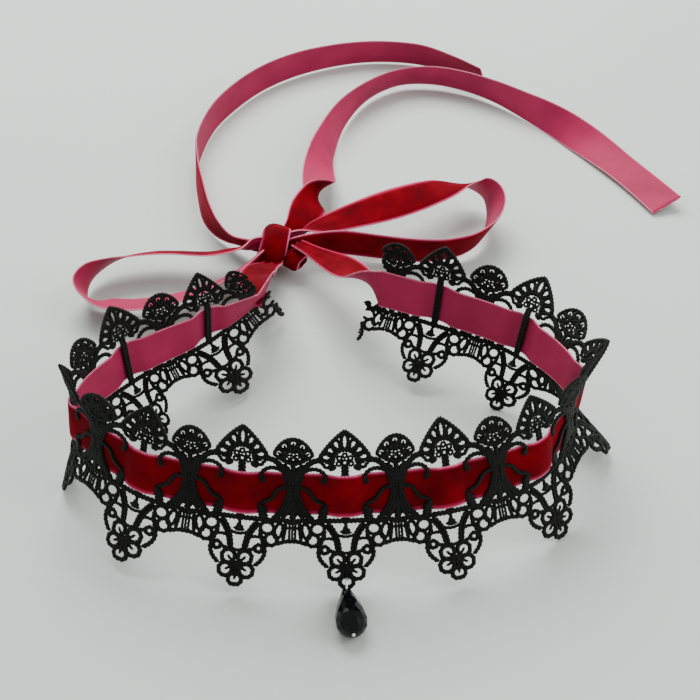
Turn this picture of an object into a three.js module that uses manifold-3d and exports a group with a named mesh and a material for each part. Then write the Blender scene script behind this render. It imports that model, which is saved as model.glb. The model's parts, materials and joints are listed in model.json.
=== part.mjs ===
// Choker necklace: a pierced lace band with a velvet ribbon woven through it, tied in a bow behind,
// and a faceted teardrop on a ring at the front. Millimetres, +Z up, the front toward -Y, table at z = 0.
import * as THREE from "three";
import Module from "manifold-3d";

const wasm = await Module();
wasm.setup();

// Driving sizes
const PITCH = 28; // one lace repeat
const HALF = PITCH / 2;
const LACE_T = 1.2; // lace thickness
const RIBBON_W = 12; // ribbon width
const RIBBON_T = 1.0; // ribbon thickness with its pile
const WEAVE_GAP = 0.6; // clearance between the ribbon and the lace that it passes
const WEAVE = (LACE_T + RIBBON_T) / 2 + WEAVE_GAP; // the ribbon's middle lies this far out or in
const WEAVE_FROM = 0.107 * HALF; // it starts inward this far from the middle of a bar
const WEAVE_TO = 0.321 * HALF; // and is inside by here
const SLOT_GAP = 0.6; // clearance above and below the ribbon in its slots
const SLOT_H = RIBBON_W / 2 + SLOT_GAP; // half the height of a slot
const FAN_H = 12.1; // from a slot's upper edge to a fan's tip
const DROP_H = 18.9; // from a slot's lower edge to a flower drop's tip
const STAND = SLOT_H + DROP_H; // the band stands on its drops
const FIRST_UNIT = -5; // full repeats run from this one
const LAST_UNIT = 5;
const BAND_END = 1.286 * HALF; // the ribbon leaves the band this far from the middle of the last repeats
const BEND_IN = 0.76 * SLOT_H; // the lean starts to change this far from the ribbon's middle
const BEND_OUT = 1.36 * SLOT_H; // and has changed by here
const KNOT_X = -0.886 * PITCH; // plan place of the knot
const KNOT_Y = 1.586 * PITCH;
const KNOT_R = 6.6; // half the knot's greatest width
const KNOT_H = 13.6; // the knot's height
const LOOP_REACH = 62; // how far the left loop reaches from the knot
const TAIL_REACH = 150; // how far the tails reach from the knot, about
const PLAN_SHIFT = [-14.14, -33.06, 0]; // puts the middle of the bounding box on the Z axis

// One row per repeat: plan position of the ribbon's middle in repeats, its height as a share of STAND,
// and the lean from upright, outward at the top, below the ribbon, at the ribbon and above it, in degrees.
// slant is how far the lace runs on along the band for each millimetre up it.
const BAND = [
  { unit: -6, x: -0.736, y: 0.307, z: 0.8, low: -14, mid: -46, up: 12, slant: 0.7 },
  { unit: -5, x: -1.504, y: -0.436, z: 0.816, low: 54, mid: -8, up: 15, slant: 0.05 },
  { unit: -4, x: -2.275, y: -1.1, z: 0.867, low: 38, mid: 5, up: 19, slant: 0 },
  { unit: -3, x: -2.679, y: -2.014, z: 0.983, low: -15, mid: -5, up: 8, slant: 0 },
  { unit: -2, x: -1.946, y: -2.696, z: 0.941, low: -40, mid: -19, up: -22, slant: 0 },
  { unit: -1, x: -1, y: -2.957, z: 0.933, low: -36, mid: -21, up: -19, slant: 0 },
  { unit: 0, x: -0.043, y: -3.029, z: 0.953, low: -31, mid: -18, up: -16, slant: 0 },
  { unit: 1, x: 0.9, y: -2.893, z: 0.933, low: -35, mid: -21, up: -32, slant: 0 },
  { unit: 2, x: 1.8, y: -2.486, z: 0.914, low: -30, mid: -11, up: -21, slant: 0 },
  { unit: 3, x: 2.261, y: -1.6, z: 0.961, low: -38, mid: 5, up: 29, slant: 0 },
  { unit: 4, x: 1.782, y: -0.739, z: 0.941, low: 25, mid: 13, up: 35, slant: 0 },
  { unit: 5, x: 0.936, y: -0.175, z: 0.894, low: 50, mid: 12, up: 12, slant: 0 },
  { unit: 6, x: 0.011, y: 0.268, z: 0.867, low: 46, mid: 14, up: 0, slant: 0 },
];

// What the rows of the strands are shares of: where the plan is measured from, its unit and the heights' unit
const FROM = {
  band: { x: 0, y: 0, plan: PITCH, height: STAND },
  knot: { x: KNOT_X, y: KNOT_Y, plan: KNOT_R, height: KNOT_H },
  loop: { x: KNOT_X, y: KNOT_Y, plan: LOOP_REACH, height: RIBBON_W },
  tail: { x: KNOT_X, y: KNOT_Y, plan: TAIL_REACH, height: RIBBON_W },
};

// Ribbon strands: middle of the ribbon, direction across it toward one edge, and its share of the width
const LINK_LEFT = [
  { of: "band", x: -0.911, y: 0.068, z: 0.878, ax: 0.42, ay: -0.48, az: 0.77, w: 1 },
  { of: "band", x: -0.971, y: 0.279, z: 0.792, ax: 0.68, ay: -0.42, az: 0.6, w: 1 },
  { of: "band", x: -1.036, y: 0.486, z: 0.682, ax: 0.86, ay: -0.34, az: 0.38, w: 1 },
  { of: "band", x: -1.057, y: 0.693, z: 0.573, ax: 0.94, ay: -0.3, az: 0.12, w: 0.97 },
  { of: "band", x: -1.025, y: 0.904, z: 0.49, ax: 0.96, ay: -0.22, az: 0, w: 0.87 },
  { of: "band", x: -0.964, y: 1.107, z: 0.416, ax: 0.98, ay: -0.12, az: 0, w: 0.7 },
  { of: "band", x: -0.914, y: 1.25, z: 0.361, ax: 1, ay: -0.05, az: 0, w: 0.57 },
  { of: "knot", x: -0.05, y: -1.14, z: 0.632, ax: 1, ay: 0, az: 0, w: 0.52 },
];
const LINK_RIGHT = [
  { of: "band", x: 0.243, y: 0.15, z: 0.863, ax: -0.1, ay: -0.3, az: 0.95, w: 1 },
  { of: "band", x: 0.175, y: 0.286, z: 0.82, ax: -0.35, ay: -0.64, az: 0.66, w: 1 },
  { of: "band", x: 0.093, y: 0.45, z: 0.761, ax: -0.5, ay: -0.8, az: 0.35, w: 0.98 },
  { of: "band", x: -0.021, y: 0.664, z: 0.682, ax: -0.58, ay: -0.8, az: 0.1, w: 0.93 },
  { of: "band", x: -0.15, y: 0.893, z: 0.588, ax: -0.58, ay: -0.81, az: 0, w: 0.83 },
  { of: "band", x: -0.293, y: 1.104, z: 0.502, ax: -0.52, ay: -0.85, az: 0.02, w: 0.67 },
  { of: "band", x: -0.443, y: 1.286, z: 0.447, ax: -0.43, ay: -0.9, az: 0.08, w: 0.5 },
  { of: "knot", x: 1.33, y: -0.67, z: 0.824, ax: -0.36, ay: -0.92, az: 0.15, w: 0.42 },
];
const LOOP_LEFT = [
  { of: "knot", x: -1, y: -0.32, z: 0.71, ax: 0, ay: -0.3, az: 0.95, w: 0.52 },
  { of: "loop", x: -0.197, y: -0.071, z: 0.78, ax: 0, ay: -0.84, az: 0.54, w: 0.75 },
  { of: "loop", x: -0.347, y: -0.11, z: 0.77, ax: 0, ay: -0.86, az: 0.51, w: 0.96 },
  { of: "loop", x: -0.529, y: -0.103, z: 0.78, ax: 0, ay: -0.84, az: 0.54, w: 1 },
  { of: "loop", x: -0.652, y: -0.103, z: 0.77, ax: 0.02, ay: -0.84, az: 0.54, w: 1 },
  { of: "loop", x: -0.798, y: -0.135, z: 0.75, ax: 0.05, ay: -0.8, az: 0.6, w: 1 },
  { of: "loop", x: -0.898, y: -0.19, z: 0.72, ax: 0, ay: -0.68, az: 0.73, w: 1 },
  { of: "loop", x: -0.969, y: -0.271, z: 0.68, ax: -0.15, ay: -0.58, az: 0.8, w: 1 },
  { of: "loop", x: -0.992, y: -0.365, z: 0.64, ax: -0.22, ay: -0.52, az: 0.83, w: 1 },
  { of: "loop", x: -0.95, y: -0.439, z: 0.6, ax: -0.2, ay: -0.6, az: 0.77, w: 1 },
  { of: "loop", x: -0.852, y: -0.479, z: 0.58, ax: -0.1, ay: -0.75, az: 0.65, w: 1 },
  { of: "loop", x: -0.732, y: -0.489, z: 0.57, ax: 0, ay: -0.84, az: 0.54, w: 1 },
  { of: "loop", x: -0.615, y: -0.477, z: 0.58, ax: 0.05, ay: -0.86, az: 0.51, w: 1 },
  { of: "loop", x: -0.5, y: -0.445, z: 0.61, ax: 0.15, ay: -0.84, az: 0.52, w: 1 },
  { of: "loop", x: -0.374, y: -0.384, z: 0.63, ax: 0.25, ay: -0.8, az: 0.55, w: 0.96 },
  { of: "loop", x: -0.255, y: -0.294, z: 0.67, ax: 0.35, ay: -0.7, az: 0.62, w: 0.83 },
  { of: "loop", x: -0.155, y: -0.19, z: 0.67, ax: 0.4, ay: -0.5, az: 0.77, w: 0.63 },
  { of: "knot", x: -0.74, y: -0.83, z: 0.57, ax: 0.3, ay: -0.3, az: 0.9, w: 0.52 },
];
const LOOP_RIGHT = [
  { of: "knot", x: 0.92, y: 0.3, z: 0.76, ax: 0, ay: -0.5, az: 0.86, w: 0.42 },
  { of: "loop", x: 0.206, y: 0.074, z: 0.97, ax: 0.2, ay: -0.85, az: 0.45, w: 0.55 },
  { of: "loop", x: 0.303, y: 0.1, z: 1.04, ax: 0.35, ay: -0.92, az: 0.15, w: 0.68 },
  { of: "loop", x: 0.432, y: 0.155, z: 1.1, ax: 0.42, ay: -0.9, az: 0, w: 0.83 },
  { of: "loop", x: 0.59, y: 0.229, z: 1.13, ax: 0.48, ay: -0.87, az: -0.02, w: 0.96 },
  { of: "loop", x: 0.74, y: 0.31, z: 1.12, ax: 0.5, ay: -0.86, az: 0.06, w: 1 },
  { of: "loop", x: 0.905, y: 0.406, z: 1.08, ax: 0.5, ay: -0.82, az: 0.24, w: 1 },
  { of: "loop", x: 1.039, y: 0.474, z: 1, ax: 0.42, ay: -0.74, az: 0.5, w: 1 },
  { of: "loop", x: 1.148, y: 0.471, z: 0.9, ax: 0.32, ay: -0.55, az: 0.76, w: 1 },
  { of: "loop", x: 1.203, y: 0.381, z: 0.82, ax: 0.42, ay: -0.3, az: 0.85, w: 1 },
  { of: "loop", x: 1.2, y: 0.252, z: 0.76, ax: 0.5, ay: -0.12, az: 0.85, w: 1 },
  { of: "loop", x: 1.148, y: 0.119, z: 0.7, ax: 0.45, ay: -0.15, az: 0.88, w: 1 },
  { of: "loop", x: 1.055, y: 0.023, z: 0.65, ax: 0.25, ay: -0.3, az: 0.92, w: 1 },
  { of: "loop", x: 0.937, y: -0.019, z: 0.6, ax: 0.06, ay: -0.32, az: 0.95, w: 1 },
  { of: "loop", x: 0.829, y: -0.032, z: 0.58, ax: 0, ay: -0.26, az: 0.97, w: 1 },
  { of: "loop", x: 0.695, y: -0.026, z: 0.59, ax: 0, ay: -0.22, az: 0.98, w: 1 },
  { of: "loop", x: 0.534, y: 0, z: 0.62, ax: 0, ay: -0.18, az: 0.98, w: 0.97 },
  { of: "loop", x: 0.373, y: 0.019, z: 0.62, ax: 0, ay: -0.12, az: 0.99, w: 0.83 },
  { of: "loop", x: 0.229, y: 0.013, z: 0.58, ax: 0, ay: -0.08, az: 1, w: 0.62 },
  { of: "knot", x: 0.98, y: -0.05, z: 0.5, ax: 0, ay: 0, az: 1, w: 0.45 },
];
const TAIL_RIGHT = [
  { of: "knot", x: 0.64, y: 0.92, z: 0.62, ax: -0.7, ay: 0.3, az: 0.64, w: 0.47 },
  { of: "tail", x: 0.048, y: 0.061, z: 0.83, ax: -0.9, ay: 0.2, az: 0.4, w: 0.75 },
  { of: "tail", x: 0.067, y: 0.101, z: 0.93, ax: -0.93, ay: 0, az: 0.36, w: 1 },
  { of: "tail", x: 0.083, y: 0.141, z: 0.96, ax: -0.72, ay: -0.42, az: 0.55, w: 1 },
  { of: "tail", x: 0.093, y: 0.174, z: 0.92, ax: 0.1, ay: -0.75, az: 0.65, w: 1 },
  { of: "tail", x: 0.096, y: 0.208, z: 0.83, ax: 0.85, ay: -0.35, az: 0.4, w: 1 },
  { of: "tail", x: 0.092, y: 0.251, z: 0.73, ax: 0.97, ay: -0.12, az: -0.02, w: 1 },
  { of: "tail", x: 0.093, y: 0.321, z: 0.68, ax: 0.84, ay: -0.1, az: -0.5, w: 1 },
  { of: "tail", x: 0.104, y: 0.411, z: 0.65, ax: 0.56, ay: -0.08, az: -0.82, w: 1 },
  { of: "tail", x: 0.145, y: 0.557, z: 0.62, ax: 0.16, ay: 0.02, az: -0.98, w: 1 },
  { of: "tail", x: 0.215, y: 0.677, z: 0.6, ax: -0.16, ay: 0.24, az: -0.95, w: 1 },
  { of: "tail", x: 0.295, y: 0.741, z: 0.6, ax: -0.14, ay: 0.42, az: -0.9, w: 1 },
  { of: "tail", x: 0.379, y: 0.749, z: 0.62, ax: -0.02, ay: 0.42, az: -0.91, w: 1 },
  { of: "tail", x: 0.461, y: 0.721, z: 0.62, ax: 0.06, ay: 0.36, az: -0.93, w: 1 },
  { of: "tail", x: 0.539, y: 0.673, z: 0.58, ax: 0.04, ay: 0.26, az: -0.96, w: 1 },
  { of: "tail", x: 0.613, y: 0.608, z: 0.54, ax: -0.12, ay: 0.1, az: -0.98, w: 1 },
  { of: "tail", x: 0.687, y: 0.536, z: 0.48, ax: -0.42, ay: -0.16, az: -0.88, w: 1 },
  { of: "tail", x: 0.758, y: 0.457, z: 0.35, ax: -0.68, ay: -0.46, az: -0.56, w: 1 },
  { of: "tail", x: 0.819, y: 0.372, z: 0.25, ax: -0.8, ay: -0.54, az: -0.26, w: 1 },
  { of: "tail", x: 0.869, y: 0.283, z: 0.23, ax: -0.81, ay: -0.52, az: -0.24, w: 1 },
  { of: "tail", x: 0.909, y: 0.197, z: 0.27, ax: -0.79, ay: -0.5, az: -0.32, w: 1 },
];
const TAIL_LEFT = [
  { of: "knot", x: -1.07, y: 0.14, z: 0.53, ax: 0.15, ay: -0.4, az: 0.9, w: 0.52 },
  { of: "tail", x: -0.085, y: 0.028, z: 0.55, ax: 0.2, ay: -0.68, az: 0.7, w: 0.67 },
  { of: "tail", x: -0.117, y: 0.056, z: 0.55, ax: 0.26, ay: -0.66, az: 0.7, w: 0.88 },
  { of: "tail", x: -0.145, y: 0.096, z: 0.56, ax: 0.28, ay: -0.6, az: 0.74, w: 1 },
  { of: "tail", x: -0.168, y: 0.149, z: 0.56, ax: 0.26, ay: -0.45, az: 0.84, w: 1 },
  { of: "tail", x: -0.185, y: 0.224, z: 0.56, ax: 0.2, ay: -0.28, az: 0.93, w: 1 },
  { of: "tail", x: -0.201, y: 0.317, z: 0.56, ax: 0.1, ay: -0.1, az: 0.99, w: 1 },
  { of: "tail", x: -0.205, y: 0.417, z: 0.55, ax: -0.01, ay: 0, az: 1, w: 1 },
  { of: "tail", x: -0.18, y: 0.547, z: 0.55, ax: 0, ay: -0.01, az: 1, w: 1 },
  { of: "tail", x: -0.128, y: 0.657, z: 0.55, ax: 0, ay: -0.02, az: 1, w: 1 },
  { of: "tail", x: -0.062, y: 0.747, z: 0.55, ax: 0.04, ay: -0.06, az: 1, w: 1 },
  { of: "tail", x: 0.016, y: 0.813, z: 0.55, ax: 0.06, ay: -0.12, az: 0.99, w: 1 },
  { of: "tail", x: 0.1, y: 0.857, z: 0.54, ax: 0.06, ay: -0.2, az: 0.98, w: 1 },
  { of: "tail", x: 0.186, y: 0.883, z: 0.53, ax: 0.05, ay: -0.26, az: 0.96, w: 1 },
  { of: "tail", x: 0.273, y: 0.887, z: 0.53, ax: 0.02, ay: -0.3, az: 0.95, w: 1 },
  { of: "tail", x: 0.362, y: 0.868, z: 0.53, ax: -0.04, ay: -0.32, az: 0.95, w: 1 },
  { of: "tail", x: 0.445, y: 0.817, z: 0.51, ax: -0.12, ay: -0.38, az: 0.92, w: 1 },
  { of: "tail", x: 0.516, y: 0.755, z: 0.49, ax: -0.18, ay: -0.42, az: 0.89, w: 1 },
];

// Half a lace repeat, laid flat. u runs from the middle of a fan, 0, to the middle of a scallop, 1. v runs
// up: from -1 to 1 across the slots, on to 2 at a fan's tip, and down to -2 at a flower drop's.
// The outline runs anticlockwise, and its edges on u = 0 and u = 1 join the next half.
// STRIPS are the heights at which the flat lace is cut, so that it follows the bends.
const STRIPS = [-2.3, -1.302, -1.132, -1.042, -0.833, 0.848, 1.05, 1.223, 2.3];
const JOINTS_U = [0, 1];
const OUTER_BOTTOM = [[0, -2], [0.086, -1.979], [0.164, -1.921], [0.2, -1.868], [0.307, -1.857],
  [0.371, -1.788], [0.379, -1.714], [0.357, -1.661], [0.457, -1.582], [0.5, -1.492], [0.493, -1.434],
  [0.657, -1.423], [0.771, -1.392], [0.85, -1.349], [1, -1.339]];
const SCALLOP_HEART = [[1, 1.215], [0.925, 1.264], [0.925, 1.364], [1, 1.413]];
const OUTER_TOP = [[1, 1.793], [0.871, 1.769], [0.771, 1.694], [0.693, 1.669], [0.621, 1.562], [0.6, 1.43],
  [0.543, 1.314], [0.5, 1.322], [0.486, 1.455], [0.4, 1.628], [0.314, 1.744], [0.186, 1.851],
  [0.107, 1.901], [0, 2]];
const TALL_CELL = [[0, -1.254], [0.1, -1.254], [0.071, -1.455], [0, -1.455]];
const SLOT = [[0.079, -1], [0.329, -1], [0.343, -0.788], [0.379, -0.5], [0.436, -0.455], [0.471, -0.652],
  [0.486, -1], [0.657, -1], [0.779, -0.667], [0.857, -0.303], [0.893, 0.091], [0.879, 0.455],
  [0.814, 0.788], [0.729, 1], [0.486, 1], [0.464, 0.727], [0.414, 0.591], [0.364, 0.712], [0.354, 1],
  [0.079, 1]];
const CRESCENT = [[0.407, 1.091], [0.486, 1.074], [0.586, 1.091], [0.686, 1.066], [0.779, 1.058],
  [0.693, 1.157], [0.593, 1.207], [0.479, 1.19]];
const SIDE_CELL = [[0.414, -1.095], [0.429, -1.175], [0.529, -1.206], [0.643, -1.169], [0.614, -1.085]];
const RING_HOLE = { u: 0.614, v: -1.307, r: 1.15, sides: 8 };
const PETAL_HOLE = [[0, -1.958], [0.071, -1.931], [0.079, -1.852], [0, -1.799]]; // front drop only, for the ring
// Beyond the last scallops the lace is cut off short.
const CUT_END = [[0.679, -1.418], [0.771, -1.392], [0.85, -1.349], [1, -1.339]];
const CUT_SIDE = [[1, 1.793], [0.871, 1.769], [0.771, 1.694], [0.693, 1.669], [0.664, 1.446],
  [0.671, 1.198], [0.729, 1.025], [0.814, 0.788], [0.879, 0.455], [0.893, 0.091], [0.871, -0.303],
  [0.843, -0.667], [0.814, -1], [0.707, -1.063], [0.657, -1.206]];

// Teardrop: distance from its tip as a share of its length, and radius as a share of its widest
const BEAD_L = 15.6;
const BEAD_R = 4;
const BEAD = [
  { along: 0, r: 0.25 },
  { along: 0.14, r: 0.39 },
  { along: 0.33, r: 0.63 },
  { along: 0.54, r: 0.89 },
  { along: 0.72, r: 1 },
  { along: 0.86, r: 0.88 },
  { along: 0.96, r: 0.53 },
  { along: 1, r: 0.25 },
];
const BEAD_SIDES = 8;
const BEAD_WIDEST = 0.72; // where it is widest, which is where it rests on the table
const BEAD_TURN = 7; // degrees to the right of straight ahead
const BEAD_RISE = 5.5; // degrees up from its tip to its foot
const BEAD_HOLE_R = 0.8;
const BEAD_HOLE_AT = 1.35; // from the tip
const RING_R = 2.5;
const RING_WIRE_R = 0.3;
const RING_SLACK = 0.15; // the ring lies against the outer side of the bead's hole by this much
const RING_PUSH = 0.65; // and this far inward of the middle of the hole in the drop
const TABLE_GAP = 0.02; // what lies on the table is this far above it

// The knot and the turn of ribbon at its right: height as a share of the knot's, middle and half sizes in
// plan as shares of its half width
const KNOT = [
  { z: 0.022, x: 0.03, y: -0.12, a: 0.48, b: 0.58 },
  { z: 0.235, x: 0, y: -0.09, a: 0.74, b: 0.82 },
  { z: 0.441, x: -0.03, y: -0.03, a: 0.91, b: 0.97 },
  { z: 0.662, x: -0.03, y: 0.03, a: 0.92, b: 1 },
  { z: 0.853, x: 0, y: 0.12, a: 0.79, b: 0.85 },
  { z: 1, x: 0.06, y: 0.21, a: 0.45, b: 0.52 },
];
const KNOT_TURN = [
  { z: 0.059, x: 0.88, y: -0.88, a: 0.36, b: 0.27 },
  { z: 0.176, x: 1.03, y: -0.91, a: 0.73, b: 0.5 },
  { z: 0.368, x: 1.15, y: -0.88, a: 0.82, b: 0.58 },
  { z: 0.559, x: 1.12, y: -0.76, a: 0.73, b: 0.52 },
  { z: 0.691, x: 0.94, y: -0.61, a: 0.45, b: 0.33 },
];
const KNOT_SIDES = 18;
const KNOT_LOBES = 0.06; // depth of the folds around it, as a share of the radius

const rad = (d) => (d * Math.PI) / 180;

// Smooth curve through evenly spaced rows, one value of each name at a place counted in rows
function spline(rows, name, at) {
  const last = rows.length - 1;
  const i = Math.min(Math.max(Math.floor(at), 0), last - 1);
  const t = at - i;
  const value = (k) => rows[Math.min(Math.max(k, 0), last)][name];
  const before = i === 0 ? 2 * value(0) - value(1) : value(i - 1);
  const after = i + 2 > last ? 2 * value(last) - value(last - 1) : value(i + 2);
  const [a, b] = [value(i), value(i + 1)];
  return 0.5 * (2 * a + (b - before) * t + (2 * before - 5 * a + 4 * b - after) * t * t
    + (3 * a - before - 3 * b + after) * t * t * t);
}

const settle = (x) => Math.round(x * 1e3) / 1e3;

function smooth(x) {
  const c = Math.min(Math.max(x, 0), 1);
  return c * c * (3 - 2 * c);
}

// Height on the flat lace, from the ribbon's middle, of a level of the pattern
function level(v) {
  const beyond = Math.abs(v) - 1;
  if (beyond <= 0) return v * SLOT_H;
  return v > 0 ? SLOT_H + beyond * FAN_H : -SLOT_H - beyond * DROP_H;
}

// The band's surface: s along it, v up it, t outward from it
const sections = new Map();
function section(s) {
  if (!sections.has(s)) {
    const at = s / PITCH - BAND[0].unit;
    const get = (name, where = at) => spline(BAND, name, where);
    const step = 0.02;
    const dx = get("x", at + step) - get("x", at - step);
    const dy = get("y", at + step) - get("y", at - step);
    const length = Math.hypot(dx, dy);
    sections.set(s, {
      x: get("x") * PITCH, y: get("y") * PITCH, z: get("z") * STAND, nx: dy / length, ny: -dx / length,
      low: rad(get("low")), mid: rad(get("mid")), up: rad(get("up")), slant: get("slant"),
    });
  }
  return sections.get(s);
}

function lean(row, v) {
  const far = v < 0 ? row.low : row.up;
  return row.mid + (far - row.mid) * smooth((Math.abs(v) - BEND_IN) / (BEND_OUT - BEND_IN));
}

function bandPoint(s, v, t) {
  const row = section(s);
  const steps = 16;
  let out = 0;
  let rise = 0;
  for (let i = 0; i < steps; i += 1) {
    const angle = lean(row, (v * (i + 0.5)) / steps);
    out += (Math.sin(angle) * v) / steps;
    rise += (Math.cos(angle) * v) / steps;
  }
  const angle = lean(row, v);
  out += t * Math.cos(angle);
  rise -= t * Math.sin(angle);
  const on = row.slant * v;
  return [row.x + row.nx * out - row.ny * on, row.y + row.ny * out + row.nx * on, row.z + rise];
}

// A closed body from points and triangles, with the same points shared
class Body {
  constructor() {
    this.points = [];
    this.faces = [];
    this.index = new Map();
  }

  point(p) {
    const key = p.map((c) => Math.round(c * 1e4)).join(",");
    if (!this.index.has(key)) {
      this.index.set(key, this.points.length);
      this.points.push(p);
    }
    return this.index.get(key);
  }

  face(a, b, c) {
    if (a !== b && b !== c && a !== c) this.faces.push([a, b, c]);
  }

  quad(a, b, c, d) {
    this.face(a, b, c);
    this.face(a, c, d);
  }

  mesh(name) {
    const geometry = new THREE.BufferGeometry();
    const moved = this.points.map((p) => p.map((c, i) => c + PLAN_SHIFT[i]));
    geometry.setAttribute("position", new THREE.Float32BufferAttribute(moved.flat(), 3));
    geometry.setIndex(this.faces.flat());
    geometry.computeVertexNormals();
    const mesh = new THREE.Mesh(geometry);
    mesh.name = name;
    return mesh;
  }
}

// A loop of the pattern in millimetres
const laid = (loop) => loop.map(([u, v]) => [u * HALF, level(v)]);

function ringHole() {
  const { u, v, r, sides } = RING_HOLE;
  return Array.from({ length: sides }, (_, i) => {
    const a = (2 * Math.PI * (i + 0.5)) / sides;
    return [u * HALF + r * Math.cos(a), level(v) + r * Math.sin(a)];
  });
}

// Adds one flat piece of lace, bent onto the band, with the flat cut into strips that follow the bends.
// Edges on a joining line, between strips or between halves, get no side wall.
function addLace(body, loops, middle, side) {
  const whole = new wasm.CrossSection(loops, "EvenOdd");
  const joints = JOINTS_U.map((u) => settle(u * HALF));
  const cuts = STRIPS.map((v) => settle(level(v)));
  const onLine = (a, b) => joints.some((u) => a[0] === u && b[0] === u)
    || cuts.some((v) => a[1] === v && b[1] === v);
  const s = (u) => middle * PITCH + side * u;
  for (let k = 0; k + 1 < cuts.length; k += 1) {
    const strip = wasm.CrossSection.square([2 * HALF, cuts[k + 1] - cuts[k]]).translate([-HALF / 2, cuts[k]]);
    const cells = whole.intersect(strip).toPolygons().map((loop) => loop.map((p) => p.map(settle)));
    const all = cells.flat();
    const outer = all.map(([u, v]) => body.point(bandPoint(s(u), v, LACE_T / 2)));
    const inner = all.map(([u, v]) => body.point(bandPoint(s(u), v, -LACE_T / 2)));
    const [front, back] = side > 0 ? [outer, inner] : [inner, outer];
    for (const [a, b, c] of wasm.triangulate(cells)) {
      body.face(front[a], front[b], front[c]);
      body.face(back[a], back[c], back[b]);
    }
    let start = 0;
    for (const loop of cells) {
      for (let i = 0; i < loop.length; i += 1) {
        const j = (i + 1) % loop.length;
        const [a, b] = [start + i, start + j];
        if (!onLine(loop[i], loop[j])) body.quad(front[a], back[a], back[b], front[b]);
      }
      start += loop.length;
    }
  }
}

function laceBand() {
  const body = new Body();
  for (let unit = FIRST_UNIT; unit <= LAST_UNIT; unit += 1) {
    const petal = unit === 0 ? PETAL_HOLE : [];
    const outline = [...OUTER_BOTTOM, ...SCALLOP_HEART, ...OUTER_TOP, ...TALL_CELL,
      ...[...petal].reverse()];
    const loops = [...[outline, SLOT, CRESCENT, SIDE_CELL].map(laid), ringHole()];
    for (const side of [-1, 1]) addLace(body, loops, unit, side);
  }
  const end = laid([...CUT_END, ...SCALLOP_HEART, ...CUT_SIDE]);
  addLace(body, [end], FIRST_UNIT - 1, 1);
  addLace(body, [end], LAST_UNIT + 1, -1);
  return body.mesh("lace_band");
}

// A ribbon through cross sections, each four corners: lower outer, upper outer, upper inner, lower inner
function ribbonBody(name, corners) {
  const body = new Body();
  const rows = corners.map((four) => four.map((p) => body.point(p)));
  const [first, last] = [rows[0], rows[rows.length - 1]];
  for (let i = 0; i + 1 < rows.length; i += 1) {
    for (let k = 0; k < 4; k += 1) {
      const m = (k + 1) % 4;
      body.quad(rows[i][k], rows[i + 1][k], rows[i + 1][m], rows[i][m]);
    }
  }
  body.quad(first[0], first[1], first[2], first[3]);
  body.quad(last[3], last[2], last[1], last[0]);
  return body.mesh(name);
}

// Cross sections of a strand given by a table, with some in between. outward is +1 when the pile side is on the
// right of the way the table runs, seen from above.
function strand(rows, between, outward) {
  const corners = [];
  const count = (rows.length - 1) * between;
  const places = rows.map((row) => {
    const from = FROM[row.of];
    const [x, y, z] = [from.x + row.x * from.plan, from.y + row.y * from.plan, row.z * from.height];
    return { ...row, x, y, z };
  });
  for (let i = 0; i <= count; i += 1) {
    const at = i / between;
    const get = (name, where = at) => spline(places, name, where);
    const middle = new THREE.Vector3(get("x"), get("y"), get("z"));
    const lo = Math.max(at - 0.05, 0);
    const hi = Math.min(at + 0.05, rows.length - 1);
    const along = new THREE.Vector3(...["x", "y", "z"].map((name) => get(name, hi) - get(name, lo))).normalize();
    const across = new THREE.Vector3(get("ax"), get("ay"), get("az"));
    across.addScaledVector(along, -across.dot(along)).normalize();
    const out = new THREE.Vector3().crossVectors(along, across).multiplyScalar(outward);
    const half = (get("w") * RIBBON_W) / 2;
    corners.push([[-1, 1], [1, 1], [1, -1], [-1, -1]].map(([a, b]) => {
      const p = middle.clone().addScaledVector(across, a * half).addScaledVector(out, (b * RIBBON_T) / 2);
      return p.toArray();
    }));
  }
  return corners;
}

// Distance of the ribbon's middle outward from the lace, at u from the middle of a repeat
function weave(u) {
  return WEAVE * (1 - 2 * smooth((Math.abs(u) - WEAVE_FROM) / (WEAVE_TO - WEAVE_FROM)));
}

function ribbonBand() {
  const half = RIBBON_W / 2;
  const right = [0, 0.1, 0.179, 0.257, 0.329, 0.679].map((share) => share * HALF);
  const stops = [...right.slice(1).reverse().map((u) => -u), ...right, HALF];
  const corners = [];
  for (let unit = FIRST_UNIT; unit <= LAST_UNIT; unit += 1) {
    const ends = [unit === FIRST_UNIT ? [-BAND_END, -HALF] : [], unit === LAST_UNIT ? [BAND_END] : []];
    for (const u of [...ends[0], ...stops, ...ends[1]]) {
      const s = unit * PITCH + u;
      const t = weave(u);
      corners.push([[-half, RIBBON_T / 2], [half, RIBBON_T / 2], [half, -RIBBON_T / 2], [-half, -RIBBON_T / 2]]
        .map(([v, d]) => bandPoint(s, v, t + d)));
    }
  }
  const before = strand(LINK_LEFT, 3, -1).reverse();
  const after = strand(LINK_RIGHT, 3, 1);
  return ribbonBody("ribbon_band", [...before, ...corners, ...after]);
}

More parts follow.
